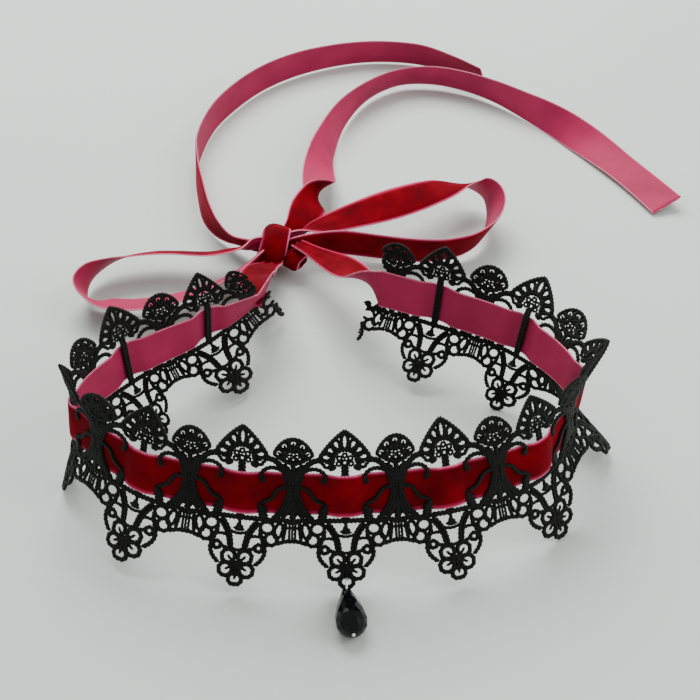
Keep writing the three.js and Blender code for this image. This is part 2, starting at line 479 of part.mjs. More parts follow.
// A closed lump from rows of rings, lowest first
function lump(table) {
  const body = new Body();
  const rows = table.map(({ z, x, y, a, b }) => Array.from({ length: KNOT_SIDES }, (_, i) => {
    const angle = (2 * Math.PI * i) / KNOT_SIDES;
    const fold = KNOT_R * (1 + KNOT_LOBES * Math.cos(3 * angle + 7 * z));
    const [outX, outY] = [a * fold * Math.cos(angle), b * fold * Math.sin(angle)];
    return body.point([KNOT_X + x * KNOT_R + outX, KNOT_Y + y * KNOT_R + outY, z * KNOT_H]);
  }));
  for (let i = 0; i + 1 < rows.length; i += 1) {
    for (let k = 0; k < KNOT_SIDES; k += 1) {
      const m = (k + 1) % KNOT_SIDES;
      body.quad(rows[i][k], rows[i][m], rows[i + 1][m], rows[i + 1][k]);
    }
  }
  const [low, high] = [rows[0], rows[rows.length - 1]];
  for (let k = 1; k + 1 < KNOT_SIDES; k += 1) {
    body.face(low[0], low[k + 1], low[k]);
    body.face(high[0], high[k], high[k + 1]);
  }
  return body;
}

function toManifold(body) {
  const mesh = new wasm.Mesh({
    numProp: 3,
    vertProperties: new Float32Array(body.points.flat()),
    triVerts: new Uint32Array(body.faces.flat()),
  });
  mesh.merge();
  return new wasm.Manifold(mesh);
}

// A mesh from a solid that came out of a union or a cut
function fromManifold(name, solid) {
  const cut = solid.getMesh();
  const body = new Body();
  const at = (i) => body.point(Array.from(cut.vertProperties.slice(i * cut.numProp, i * cut.numProp + 3)));
  for (let i = 0; i < cut.triVerts.length; i += 3) {
    body.face(at(cut.triVerts[i]), at(cut.triVerts[i + 1]), at(cut.triVerts[i + 2]));
  }
  return body.mesh(name);
}

function knot() {
  return fromManifold("bow_knot", toManifold(lump(KNOT)).add(toManifold(lump(KNOT_TURN))));
}

// Where the ring and the bead hang from the front drop's lowest petal
function hanging() {
  const heights = laid(PETAL_HOLE).map(([, v]) => v);
  const hole = bandPoint(0, (Math.min(...heights) + Math.max(...heights)) / 2, 0);
  const [turn, rise] = [rad(BEAD_TURN), rad(BEAD_RISE)];
  const flat = Math.cos(rise);
  const axis = new THREE.Vector3(Math.sin(turn) * flat, -Math.cos(turn) * flat, Math.sin(rise));
  const tipZ = TABLE_GAP + BEAD_R - BEAD_WIDEST * BEAD_L * Math.sin(rise);
  const ringZ = tipZ + BEAD_HOLE_AT * Math.sin(rise);
  const back = Math.sqrt(Math.max(RING_R ** 2 - (hole[2] - ringZ) ** 2, 0));
  const ring = [hole[0], hole[1] + RING_PUSH - back, ringZ];
  const eye = new THREE.Vector3(ring[0], ring[1] - RING_R + RING_SLACK, ringZ);
  return { ring, axis, tip: eye.clone().addScaledVector(axis, -BEAD_HOLE_AT), eye: eye.toArray() };
}

function bead() {
  const body = new Body();
  const { axis, tip, eye } = hanging();
  const side = new THREE.Vector3(0, 0, 1).cross(axis).normalize();
  const up = new THREE.Vector3().crossVectors(axis, side);
  const place = (along, r, angle) => tip.clone().addScaledVector(axis, along * BEAD_L)
    .addScaledVector(side, r * BEAD_R * Math.cos(angle))
    .addScaledVector(up, r * BEAD_R * Math.sin(angle)).toArray();
  const turn = (2 * Math.PI) / BEAD_SIDES;
  const rows = BEAD.map(({ along, r }, i) => Array.from({ length: BEAD_SIDES }, (_, k) => (
    body.point(place(along, r, turn * (k + (i % 2) / 2))))));
  for (let i = 0; i + 1 < rows.length; i += 1) {
    const shift = i % 2;
    for (let k = 0; k < BEAD_SIDES; k += 1) {
      const m = (k + 1) % BEAD_SIDES;
      if (shift === 0) {
        body.face(rows[i][k], rows[i][m], rows[i + 1][k]);
        body.face(rows[i][m], rows[i + 1][m], rows[i + 1][k]);
      } else {
        body.face(rows[i][k], rows[i][m], rows[i + 1][m]);
        body.face(rows[i][k], rows[i + 1][m], rows[i + 1][k]);
      }
    }
  }
  for (let k = 1; k + 1 < BEAD_SIDES; k += 1) {
    body.face(rows[0][0], rows[0][k + 1], rows[0][k]);
    const end = rows[rows.length - 1];
    body.face(end[0], end[k], end[k + 1]);
  }
  const drill = wasm.Manifold.cylinder(2 * BEAD_R, BEAD_HOLE_R, BEAD_HOLE_R, 12, true).translate(eye);
  return fromManifold("drop_bead", toManifold(body).subtract(drill));
}

function jumpRing() {
  const body = new Body();
  const around = 16;
  const wire = 6;
  const centre = hanging().ring;
  const rows = Array.from({ length: around }, (_, i) => {
    const a = (2 * Math.PI * i) / around;
    return Array.from({ length: wire }, (__, k) => {
      const b = (2 * Math.PI * k) / wire;
      const r = RING_R + RING_WIRE_R * Math.cos(b);
      const x = centre[0] + RING_WIRE_R * Math.sin(b);
      return body.point([x, centre[1] + r * Math.cos(a), centre[2] + r * Math.sin(a)]);
    });
  });
  for (let i = 0; i < around; i += 1) {
    const j = (i + 1) % around;
    for (let k = 0; k < wire; k += 1) {
      const m = (k + 1) % wire;
      body.quad(rows[i][k], rows[j][k], rows[j][m], rows[i][m]);
    }
  }
  return body.mesh("jump_ring");
}

const group = new THREE.Group();
group.add(
  laceBand(),
  ribbonBand(),
  knot(),
  ribbonBody("bow_loop_left", strand(LOOP_LEFT, 2, 1)),
  ribbonBody("bow_loop_right", strand(LOOP_RIGHT, 2, 1)),
  ribbonBody("ribbon_tail_left", strand(TAIL_LEFT, 2, 1)),
  ribbonBody("ribbon_tail_right", strand(TAIL_RIGHT, 2, 1)),
  jumpRing(),
  bead(),
);
export default group;
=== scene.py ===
"""Looks for a choker necklace: guipure lace with a velvet ribbon woven through it, a bow and a drop."""

import json
import math

import bpy
import numpy as np
from bpy.props import FloatProperty, FloatVectorProperty, IntProperty, PointerProperty
from mathutils import Vector
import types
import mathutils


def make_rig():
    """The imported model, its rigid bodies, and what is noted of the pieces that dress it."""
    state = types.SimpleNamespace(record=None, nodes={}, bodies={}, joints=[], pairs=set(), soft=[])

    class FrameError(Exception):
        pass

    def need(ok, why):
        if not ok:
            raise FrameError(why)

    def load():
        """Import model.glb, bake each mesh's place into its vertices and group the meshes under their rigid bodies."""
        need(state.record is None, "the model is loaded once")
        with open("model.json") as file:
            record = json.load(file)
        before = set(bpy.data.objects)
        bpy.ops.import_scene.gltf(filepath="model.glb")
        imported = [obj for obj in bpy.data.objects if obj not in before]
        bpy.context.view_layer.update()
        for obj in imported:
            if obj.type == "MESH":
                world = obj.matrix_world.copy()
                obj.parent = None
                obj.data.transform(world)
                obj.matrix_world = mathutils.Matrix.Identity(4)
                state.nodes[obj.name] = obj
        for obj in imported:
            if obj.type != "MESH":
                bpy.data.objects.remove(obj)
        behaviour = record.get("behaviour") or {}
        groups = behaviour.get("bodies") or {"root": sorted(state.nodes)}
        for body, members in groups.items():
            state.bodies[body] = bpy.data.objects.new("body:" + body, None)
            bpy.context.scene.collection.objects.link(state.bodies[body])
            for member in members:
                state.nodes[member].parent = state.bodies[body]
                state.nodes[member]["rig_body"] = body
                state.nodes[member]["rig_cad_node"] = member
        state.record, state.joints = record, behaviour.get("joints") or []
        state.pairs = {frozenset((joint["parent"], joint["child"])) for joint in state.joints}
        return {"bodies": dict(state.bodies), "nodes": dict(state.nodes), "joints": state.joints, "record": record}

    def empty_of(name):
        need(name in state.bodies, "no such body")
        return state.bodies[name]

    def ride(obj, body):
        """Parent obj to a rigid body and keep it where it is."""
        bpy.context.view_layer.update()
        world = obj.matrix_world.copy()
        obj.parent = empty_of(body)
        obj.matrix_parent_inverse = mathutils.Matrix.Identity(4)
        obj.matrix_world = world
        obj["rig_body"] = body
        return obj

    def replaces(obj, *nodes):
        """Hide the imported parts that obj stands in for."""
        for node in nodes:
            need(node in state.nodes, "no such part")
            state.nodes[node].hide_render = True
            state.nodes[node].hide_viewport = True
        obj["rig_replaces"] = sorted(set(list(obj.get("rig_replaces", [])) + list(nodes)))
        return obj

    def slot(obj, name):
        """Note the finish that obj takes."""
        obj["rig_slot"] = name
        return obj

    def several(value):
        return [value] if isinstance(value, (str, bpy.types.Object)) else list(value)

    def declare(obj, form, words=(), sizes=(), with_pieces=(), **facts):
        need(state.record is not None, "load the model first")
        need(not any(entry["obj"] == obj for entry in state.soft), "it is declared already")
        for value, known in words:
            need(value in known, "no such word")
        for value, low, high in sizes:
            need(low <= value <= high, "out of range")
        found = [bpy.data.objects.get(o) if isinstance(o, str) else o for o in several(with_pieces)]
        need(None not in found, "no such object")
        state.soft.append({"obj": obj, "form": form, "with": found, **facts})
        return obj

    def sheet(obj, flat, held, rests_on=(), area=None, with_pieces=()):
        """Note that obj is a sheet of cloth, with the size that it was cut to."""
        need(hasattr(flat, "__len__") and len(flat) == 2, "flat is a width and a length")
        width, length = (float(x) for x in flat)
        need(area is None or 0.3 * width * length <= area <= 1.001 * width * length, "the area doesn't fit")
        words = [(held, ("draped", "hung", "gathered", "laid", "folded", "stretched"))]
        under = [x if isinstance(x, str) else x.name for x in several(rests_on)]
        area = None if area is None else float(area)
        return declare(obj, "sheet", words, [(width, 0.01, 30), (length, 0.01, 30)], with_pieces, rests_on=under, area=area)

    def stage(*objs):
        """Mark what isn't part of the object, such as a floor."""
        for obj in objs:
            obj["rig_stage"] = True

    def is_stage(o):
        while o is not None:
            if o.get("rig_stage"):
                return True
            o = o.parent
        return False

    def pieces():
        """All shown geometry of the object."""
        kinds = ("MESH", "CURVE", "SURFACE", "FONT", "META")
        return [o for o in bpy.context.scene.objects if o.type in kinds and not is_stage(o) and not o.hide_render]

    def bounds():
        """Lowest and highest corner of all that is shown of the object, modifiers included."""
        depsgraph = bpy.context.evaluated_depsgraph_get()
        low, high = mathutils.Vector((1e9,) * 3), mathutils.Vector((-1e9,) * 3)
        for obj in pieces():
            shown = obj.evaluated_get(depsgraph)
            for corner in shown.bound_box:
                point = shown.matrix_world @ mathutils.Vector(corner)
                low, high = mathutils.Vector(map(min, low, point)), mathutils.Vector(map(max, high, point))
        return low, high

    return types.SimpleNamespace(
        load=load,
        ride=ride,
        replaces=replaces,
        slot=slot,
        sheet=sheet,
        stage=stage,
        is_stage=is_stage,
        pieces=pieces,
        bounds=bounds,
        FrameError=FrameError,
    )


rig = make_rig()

bl_info = {
    "name": "Lace choker",
    "version": (1, 0, 0),
    "blender": (4, 5, 0),
    "location": "View3D > Sidebar > Choker",
    "description": "Builds a pierced lace choker with a woven velvet ribbon, its bow and its drop",
    "category": "Add Mesh",
}

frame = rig.load()
CAD_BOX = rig.bounds()

MM = 0.001
# From the origin of the tables to the part's own origin
PLAN_SHIFT = np.array([-14.14, -33.06, 0.0])

# Repeats of the lace, counted from the front one
PITCH = 28.0
HALF = PITCH / 2
FIRST_UNIT = -5
LAST_UNIT = 5
LACE_PIECES = {
    "lace_left": range(FIRST_UNIT, -2),
    "lace_front": range(-2, 3),
    "lace_right": range(3, LAST_UNIT + 1),
}
# Height of the lace laid flat, and the share of it that isn't holes
LACE_HIGH = 44.3
LACE_FILL = 0.72
# Heights at which the lace starts and ends to lean away from the ribbon
BEND_IN = 5.0
BEND_OUT = 9.0
# How far the ribbon stays in the lace past the middle of the last repeat
BAND_END = 18.0
# Where the cut repeats start, from their middle: at the ribbon and above, and below it
CUT_AT = 9.2
CUT_LOW = 6.0
# Samples for each point of a cut cord, how many of them make one step, and the fewest that stay
CUT_FINE = 8
CUT_THIN = 3
CUT_SHORTEST = 5

# One row per repeat, as in the CAD: plan position and height of the ribbon's middle, lean below, at and
# above the ribbon in degrees, and how far the lace runs on along the band for each millimetre up it
BAND = np.array([
    [-20.6, 8.6, 20.4, -14, -46, 12, 0.7],
    [-42.1, -12.2, 20.8, 54, -8, 15, 0.05],
    [-63.7, -30.8, 22.1, 38, 5, 19, 0],
    [-75.0, -56.4, 25.1, -15, -5, 8, 0],
    [-54.5, -75.5, 24.0, -40, -19, -22, 0],
    [-28.0, -82.8, 23.8, -36, -21, -19, 0],
    [-1.2, -84.8, 24.3, -31, -18, -16, 0],
    [25.2, -81.0, 23.8, -35, -21, -32, 0],
    [50.4, -69.6, 23.3, -30, -11, -21, 0],
    [63.3, -44.8, 24.5, -38, 5, 29, 0],
    [49.9, -20.7, 24.0, 25, 13, 35, 0],
    [26.2, -4.9, 22.8, 50, 12, 12, 0],
    [0.3, 7.5, 22.1, 46, 14, 0, 0],
])
# Row of the front repeat, step for directions along the band in repeats, and steps up its lean
BAND_MIDDLE = 6
BAND_STEP = 0.02
LEAN_STEPS = 16
# Half the length outside a bar, and the run from there to the inside
WEAVE_BAR = 1.5
WEAVE_RUN = 5.0

# Ribbon strands, as in the CAD: middle, direction across toward the upper edge, width
LINK_LEFT = [
    [-25.5, 1.9, 22.4, 0.42, -0.48, 0.77, 12],
    [-27.2, 7.8, 20.2, 0.68, -0.42, 0.6, 12],
    [-29.0, 13.6, 17.4, 0.86, -0.34, 0.38, 12],
    [-29.6, 19.4, 14.6, 0.94, -0.3, 0.12, 11.6],
    [-28.7, 25.3, 12.5, 0.96, -0.22, 0, 10.4],
    [-27.0, 31.0, 9.4, 0.98, -0.12, 0, 8.4],
    [-25.6, 35.0, 6.9, 1, -0.05, 0, 6.8],
    [-25.1, 38.9, 6.0, 1, 0, 0, 6.2],
]
LINK_RIGHT = [
    [6.8, 4.2, 22.0, -0.1, -0.3, 0.95, 12],
    [4.9, 8.0, 20.9, -0.35, -0.64, 0.66, 12],
    [2.6, 12.6, 19.4, -0.5, -0.8, 0.35, 11.8],
    [-0.6, 18.6, 17.4, -0.58, -0.8, 0.1, 11.2],
    [-4.2, 25.0, 15.0, -0.58, -0.81, 0.0, 10.0],
    [-8.2, 30.9, 12.8, -0.52, -0.85, 0.02, 8.0],
    [-12.4, 36.0, 11.4, -0.43, -0.9, 0.08, 6.0],
    [-17.5, 41.2, 10.6, -0.36, -0.92, 0.15, 5.0],
]
LOOP_LEFT = [
    [-27, 43.6, 9.6, 0, -0.3, 0.95, 5.6],
    [-31.4, 42.3, 9.7, 0, -0.3, 0.95, 6.2],
    [-37, 40, 9.4, 0, -0.84, 0.54, 9],
    [-46.3, 37.6, 9.2, 0, -0.86, 0.51, 11.5],
    [-57.6, 38, 9.4, 0, -0.84, 0.54, 12],
    [-65.2, 38, 9.2, 0.02, -0.84, 0.54, 12],
    [-74.3, 36, 9, 0.05, -0.8, 0.6, 12],
    [-80.5, 32.6, 8.6, 0, -0.68, 0.73, 12],
    [-84.9, 27.6, 8.2, -0.15, -0.58, 0.8, 12],
    [-86.3, 21.8, 7.7, -0.22, -0.52, 0.83, 12],
    [-83.7, 17.2, 7.2, -0.2, -0.6, 0.77, 12],
    [-77.6, 14.7, 7, -0.1, -0.9, 0.42, 12],
    [-70.2, 14.1, 6.8, 0, -0.93, 0.37, 12],
    [-62.9, 14.8, 7, 0.05, -0.93, 0.36, 12],
    [-55.8, 16.8, 7.3, 0.15, -0.9, 0.4, 12],
    [-48, 20.6, 7.6, 0.25, -0.85, 0.46, 11.5],
    [-40.6, 26.2, 8, 0.35, -0.7, 0.62, 10],
    [-34.4, 32.6, 8, 0.4, -0.5, 0.77, 7.6],
    [-29.7, 38.9, 7.8, 0.3, -0.3, 0.9, 6.2],
    [-27, 42, 7.6, 0.3, -0.3, 0.9, 5.6],
]
LOOP_RIGHT = [
    [-23.0, 45.4, 9.6, 0, -0.5, 0.86, 4.6],
    [-18.7, 46.4, 10.4, 0, -0.5, 0.86, 5.0],
    [-12.0, 49.0, 11.6, 0.2, -0.9, 0.15, 7.8],
    [-6.0, 50.6, 12.5, 0.35, -0.9, -0.1, 9.6],
    [2.0, 54.0, 13.2, 0.42, -0.86, -0.25, 11],
    [11.8, 58.6, 13.6, 0.48, -0.8, -0.38, 12],
    [21.1, 63.6, 13.5, 0.5, -0.78, -0.34, 12],
    [31.3, 69.6, 13.0, 0.5, -0.82, -0.04, 12],
    [39.6, 73.8, 12.0, 0.42, -0.74, 0.5, 12],
    [46.4, 73.6, 10.8, 0.32, -0.55, 0.76, 12],
    [49.8, 68.0, 9.8, 0.42, -0.3, 0.85, 12],
    [49.6, 60.0, 9.1, 0.5, -0.12, 0.85, 12],
    [46.4, 51.8, 8.4, 0.45, -0.15, 0.88, 12],
    [40.6, 45.8, 7.8, 0.25, -0.3, 0.92, 12],
    [33.3, 43.2, 7.2, 0.06, -0.32, 0.95, 12],
    [26.6, 42.4, 7.0, 0, -0.26, 0.97, 12],
    [18.3, 42.8, 7.1, 0, -0.22, 0.98, 12],
    [8.3, 44.4, 7.4, 0, -0.18, 0.98, 11.6],
    [-1.7, 45.6, 8.0, 0, -0.12, 0.99, 11],
    [-10.6, 45.2, 8.2, 0, -0.08, 1, 9.4],
    [-18.3, 44.1, 7.8, 0, 0, 1, 7.4],
    [-23.0, 43.6, 6.8, 0, 0, 1, 5.0],
]
TAIL_RIGHT = [
    [-22.4, 46.6, 8, -0.7, 0.3, 0.64, 5],
    [-20.6, 50.5, 8.4, -0.7, 0.3, 0.64, 5.6],
    [-17.6, 53.6, 10, -0.9, 0.2, 0.4, 9],
    [-14.8, 59.6, 11.2, -0.93, 0, 0.36, 12],
    [-12.4, 65.6, 11.5, -0.72, -0.42, 0.55, 12],
    [-10.9, 70.5, 11, 0.1, -0.75, 0.65, 12],
    [-10.4, 75.6, 10, 0.85, -0.35, 0.4, 12],
    [-11, 82.1, 8.8, 0.97, -0.12, -0.02, 12],
    [-10.9, 92.6, 8.2, 0.84, -0.1, -0.5, 12],
    [-9.2, 106.1, 7.8, 0.56, -0.08, -0.82, 12],
    [-3.1, 128, 7.4, 0.16, 0.02, -0.98, 12],
    [7.4, 146, 7.2, -0.16, 0.24, -0.95, 12],
    [19.4, 155.6, 7.2, -0.14, 0.42, -0.9, 12],
    [32, 156.8, 7.4, -0.02, 0.42, -0.91, 12],
    [44.3, 152.6, 7.4, 0.06, 0.36, -0.93, 12],
    [56, 145.4, 7, 0.04, 0.26, -0.96, 12],
    [67.1, 135.6, 6.5, -0.12, 0.1, -0.98, 12],
    [78.2, 124.8, 5.8, -0.42, -0.16, -0.88, 12],
    [88.9, 113, 4.2, -0.68, -0.46, -0.56, 12],
    [98, 100.2, 3, -0.8, -0.54, -0.26, 12],
    [105.5, 86.9, 2.8, -0.81, -0.52, -0.24, 12],
    [111.5, 74, 3.2, -0.79, -0.5, -0.32, 12],
]
TAIL_LEFT = [
    [-27.5, 44.6, 7.4, 0.15, -0.4, 0.9, 5.6],
    [-31.9, 45.3, 7.2, 0.15, -0.4, 0.9, 6.2],
    [-37.6, 48.6, 6.6, 0.2, -0.68, 0.7, 8],
    [-42.4, 52.8, 6.6, 0.26, -0.66, 0.7, 10.6],
    [-46.6, 58.8, 6.7, 0.28, -0.6, 0.74, 12],
    [-50, 66.8, 6.7, 0.26, -0.45, 0.84, 12],
    [-52.6, 78, 6.7, 0.2, -0.28, 0.93, 12],
    [-55, 92, 6.7, 0.1, -0.1, 0.99, 12],
    [-55.6, 107, 6.6, -0.01, 0, 1, 12],
    [-51.8, 126.5, 6.6, 0, -0.01, 1, 12],
    [-44, 143, 6.6, 0, -0.02, 1, 12],
    [-34.1, 156.5, 6.6, 0.04, -0.06, 1, 12],
    [-22.4, 166.4, 6.6, 0.06, -0.12, 0.99, 12],
    [-9.8, 173, 6.5, 0.06, -0.2, 0.98, 12],
    [3.1, 176.9, 6.4, 0.05, -0.26, 0.96, 12],
    [16.1, 177.5, 6.4, 0.02, -0.3, 0.95, 12],
    [29.5, 174.6, 6.4, -0.04, -0.32, 0.95, 12],
    [41.9, 167, 6.1, -0.12, -0.38, 0.92, 12],
    [52.6, 157.7, 5.9, -0.18, -0.42, 0.89, 12],
]

# Ribbon section: across as a share of half the width, height in mm from the cloth, and the slot of the
# face that follows
VELVET, SATIN, SELVEDGE = 0, 1, 2
RIBBON_SECTION = [
    (-1.0, 0.0, SELVEDGE), (-0.99, 0.14, SELVEDGE), (-0.93, 0.16, VELVET), (-0.9, 0.34, VELVET),
    (-0.6, 0.42, VELVET), (-0.3, 0.43, VELVET), (0.0, 0.43, VELVET), (0.3, 0.43, VELVET),
    (0.6, 0.42, VELVET), (0.9, 0.34, VELVET), (0.93, 0.16, SELVEDGE), (0.99, 0.14, SELVEDGE),
    (1.0, 0.0, SELVEDGE), (0.99, -0.16, SELVEDGE), (0.93, -0.2, SATIN), (0.6, -0.22, SATIN),
    (0.3, -0.22, SATIN), (0.0, -0.22, SATIN), (-0.3, -0.22, SATIN), (-0.6, -0.22, SATIN),
    (-0.93, -0.2, SELVEDGE), (-0.99, -0.16, SELVEDGE),
]
SECTION_ACROSS = np.array([row[0] for row in RIBBON_SECTION])
SECTION_HIGH = np.array([row[1] for row in RIBBON_SECTION])
SECTION_SLOTS = [row[2] for row in RIBBON_SECTION]
SECTION_AROUND = [(row[0] + 1) / 2 for row in RIBBON_SECTION] + [0.0]
RIBBON_W = 12.0
# Depth and number of the pleats where the ribbon is drawn together
PLEAT = 1.1
PLEATS = 2.4

# The fan and the scallop of a repeat, laid flat: centre, angle and reach of each petal, where the petals
# start, half their width, and radius and last angle of the rim that carries them
FAN_CENTRE = (0.0, 9.9)
FAN_PETALS = [(64, 6.6), (38, 6.2), (12, 6.5)]
FAN_INNER = 3.4
FAN_HALF = 0.95
FAN_RIM_R = 3.3
FAN_RIM_END = -14
SCALLOP_CENTRE = (14.0, 10.3)
SCALLOP_PETALS = [(125, 5.4), (160, 5.3)]
SCALLOP_TOP = 5.5
SCALLOP_INNER = 2.6
SCALLOP_HALF = 1.12
SCALLOP_RIM_R = 2.35
SCALLOP_RIM_END = 200
# Widths of their cords, and where the bar in a scallop's petal runs
RIM_CORD = 1.1
PETAL_CORD = 0.8
BAR_CORD = 0.55
BAR_PLACES = (2.9, 3.9, 4.7)
# Side of a petal between its two ends: share of its length, share of half its width
PETAL_SWELL = [(0.22, 0.5), (0.6, 1.0), (0.9, 0.72)]

# Cords of half a repeat, laid flat: width, points (u from the middle of the fan, v up from the ribbon's
# middle). A width may be a list, one for each point. An end on u = 0 or u = HALF meets the mirrored half
OPEN_CORDS = [
    (0.85, [(0, 13.1), (0.65, 13.8), (0.95, 15.5), (0.7, 17.0), (0, 17.8)]),
    (0.95, [(0, 18.5), (1.6, 17.3), (3.0, 16.0), (4.3, 14.6), (5.4, 13.2), (6.3, 11.9), (7.0, 10.7)]),
    (0.8, [(14, 16.1), (12.3, 15.7), (10.9, 14.8), (9.8, 13.6), (9.0, 12.2), (8.6, 11.0)]),
    (0.95, [(3.5, 8.9), (4.6, 9.5), (6.4, 10.3), (8.2, 10.1), (9.8, 9.2), (11.2, 7.8), (12.3, 5.9),
            (13.0, 3.4), (13.3, 1.0), (13.05, -1.2), (12.2, -3.2), (11.2, -5.0), (10.0, -6.4), (9.0, -7.3)]),
    (0.8, [(4.2, 8.4), (5.2, 8.0), (6.6, 9.6), (8.2, 9.5), (9.5, 8.7), (10.7, 7.3), (11.6, 5.6), (12.2, 3.4),
           (12.65, 1.0), (12.2, -1.2), (11.5, -3.2), (10.5, -4.8), (9.2, -6.3), (8.3, -7.2)]),
    (0.95, [(12.6, 5.0), (11.3, 6.6), (9.7, 7.3), (8.2, 7.5), (6.8, 7.1), (5.7, 6.2), (5.2, 5.0),
            (5.35, 4.1)]),
    (0.9, [(12.6, 2.3), (11.0, 1.9), (9.7, 1.1), (8.9, -0.2), (8.0, -1.4), (6.8, -2.1), (5.4, -2.7)]),
    ([0.7, 1.5, 2.2, 1.9, 1.2], [(5.0, -2.5), (5.3, -3.6), (5.8, -4.9), (6.2, -6.2), (6.4, -7.3)]),
    (1.0, [(0.45, 9.0), (0.45, 4.0), (0.45, -2.0), (0.45, -7.3)]),
    (0.7, [(0, -11.7), (1.2, -11.5), (2.5, -11.1)]),
    ([0.6, 1.4, 1.4, 0.7], [(13.7, -1.4), (13.0, -3.6), (12.1, -5.4), (11.0, -6.9)]),
    ([0.6, 1.3, 1.3, 0.8], [(13.6, 3.0), (13.2, 5.2), (12.6, 7.0), (11.4, 8.8)]),
    (1.0, [(9.0, 10.9), (10.4, 10.4), (12.0, 9.4), (14, 8.8)]),
    (1.15, [(0, -7.4), (3, -7.35), (6, -7.35), (9.2, -7.6), (11.2, -7.3), (14, -7.9)]),
    (0.85, [(5.0, -7.8), (3.6, -9.2), (2.6, -10.9), (2.0, -12.7), (1.7, -14.3), (1.5, -15.9)]),
    (0.8, [(5.8, -8.3), (4.4, -9.8), (3.4, -11.4), (2.8, -13.0), (2.5, -14.4), (2.2, -15.8)]),
    (0.95, [(5.6, -9.8), (5.8, -11.6), (6.5, -13.4), (7.0, -15.0), (7.1, -16.3), (6.6, -17.8), (5.6, -19.1),
            (4.6, -19.9)]),
    (0.7, [(3.3, -12.4), (4.5, -12.1), (5.8, -12.3)]),
    (0.8, [(4.7, -15.0), (3.6, -15.6), (2.2, -15.9)]),
    (0.75, [(12.2, -7.7), (12.1, -10.0), (11.6, -13.1)]),
    (0.55, [(13.2, -7.8), (13.25, -12.9)]),
    (0.6, [(12.1, -9.4), (14, -9.3)]),
    (0.95, [(9.9, -13.8), (11.0, -13.4), (12.2, -13.0), (14, -12.9)]),
    (0.8, [(0, -16.2), (0.9, -16.0), (1.7, -15.8)]),
    (0.95, [(0, -22.3), (1.3, -22.8), (1.75, -23.9), (1.2, -25.0), (0, -25.3)]),
    (0.6, [(0.7, -19.4), (1.6, -18.5), (2.5, -17.6)]),
    (0.6, [(0.9, -20.4), (1.9, -20.9), (2.9, -21.5)]),
    ([1.1, 1.3, 0.8], [(0.3, -20.0), (1.1, -19.2), (1.6, -18.7)]),
    ([1.1, 1.3, 0.8], [(0.3, -20.3), (1.2, -20.6), (1.8, -20.9)]),
]
# Rings: u, v, radius along u, radius along v, tilt in degrees, width
RINGS = [
    (1.5, 10.7, 0.62, 0.62, 0, 0.55),
    (1.7, 9.1, 0.6, 0.6, 0, 0.55),
    (3.5, 8.1, 0.5, 0.5, 0, 1.1),
    (5.75, 3.9, 0.42, 0.42, 0, 0.75),
    (8.6, -12.6, 1.6, 1.6, 0, 0.9),
    (7.4, -9.6, 1.75, 1.55, -10, 0.8),
    (10.4, -10.3, 1.0, 2.1, -14, 0.75),
    (5.5, -15.2, 0.95, 0.95, 0, 0.85),
    (2.2, -17.9, 1.75, 1.75, 0, 0.95),
    (2.75, -21.4, 1.75, 1.75, 0, 0.95),
    (12.85, 9.6, 0.5, 0.5, 0, 0.45),
    (12.9, 10.9, 0.5, 0.5, 0, 0.45),
]
# Cords and rings on the middle of a repeat or of a scallop, drawn once
MIDDLE_CORDS = [
    ([0.7, 0.9, 2.4, 2.7], [(0, -7.6), (0, -9.0), (0, -10.4), (0, -11.1)]),
    ([0.8, 1.0, 0.7, 0.6], [(0, -20.2), (0, -21.4), (0, -22.6), (0, -24.0)]),
    ([1.2, 1.2, 0.6, 1.2, 1.7, 1.2], [(14, 8.6), (14, 5.4), (14, 1.0), (14, -2.4), (14, -5.0), (14, -7.8)]),
    (0.5, [(14, -7.8), (14, -12.9)]),
    ([0.6, 0.6], [(14, 13.2), (14, 15.0)]),
]
MIDDLE_RINGS = [
    (0, 9.4, 0.75, 0.75, 0, 0.6),
    (0, 11.5, 0.6, 0.6, 0, 0.55),
    (0, -20.2, 0.5, 0.5, 0, 1.4),
    (14, 11.6, 0.5, 0.5, 0, 0.45),
    (14, 10.1, 0.55, 0.55, 0, 0.5),
]
# Step along a cord, samples for each of its points, sides of its tube, and pitch and depth of its knobs
CORD_STEP = 0.32
CORD_FINE = 24
CORD_SIDES = 6
KNOB_PITCH = 1.05
KNOB_DEPTH = 0.2
# Thickness of a thin cord against its width, and shares of the width at a free end and just before it
CORD_FLAT = 0.92
CORD_TIP = 0.35
CORD_NECK = 0.85
# How near to the mirror line an end lies on it
ON_LINE = 1e-6

# Bead as in the CAD: distance from the tip and radius
BEAD = [(0.0, 1.1), (1.6, 1.6), (3.9, 2.4), (6.7, 3.35), (9.4, 4.0), (11.6, 4.2), (13.4, 3.75), (14.8, 2.5),
        (15.6, 1.1)]
BEAD_SIDES = 10
BEAD_TIP = (-1.02, -98.09, 3.15)
BEAD_END = (0.87, -113.51, 4.65)
# Head of the pin that ends the bead: radius, how far it stands out, sections, and angle of the first one
PIN_R = 0.5
PIN_OUT = 0.3
PIN_RINGS = 7
PIN_CAP = 0.08
RING_CENTRE = (-0.86, -97.08, 3.07)
RING_R = 2.5
RING_WIRE_R = 0.3
WIRE_SIDES = 12

# Turns of ribbon round the knot: centre, heading of the axis in plan, half width, radius, how far the edges
# draw in, how far the turn leans along its axis, and how far one edge stands open
KNOT_TURNS = [
    ((-25.6, 44.2, 7.2), -4, 4.7, 7.6, 2.6, 1.2, 1.2),
    ((-18.4, 38.9, 5.6), -38, 3.6, 3.6, 1.6, 0.6, 0.8),
]
KNOT_STEPS = 72
# Height of a turn's lower half against its upper one, and the angle at which its edge stands open
KNOT_FLAT = 0.8
KNOT_OPEN_AT = 0.5
# Folds and creases of a turn: depth, waves round it, and how far the waves run on across the ribbon
KNOT_FOLD = (0.28, 2.0, 3.2)
KNOT_CREASE = (0.16, 5.0, 4.0)

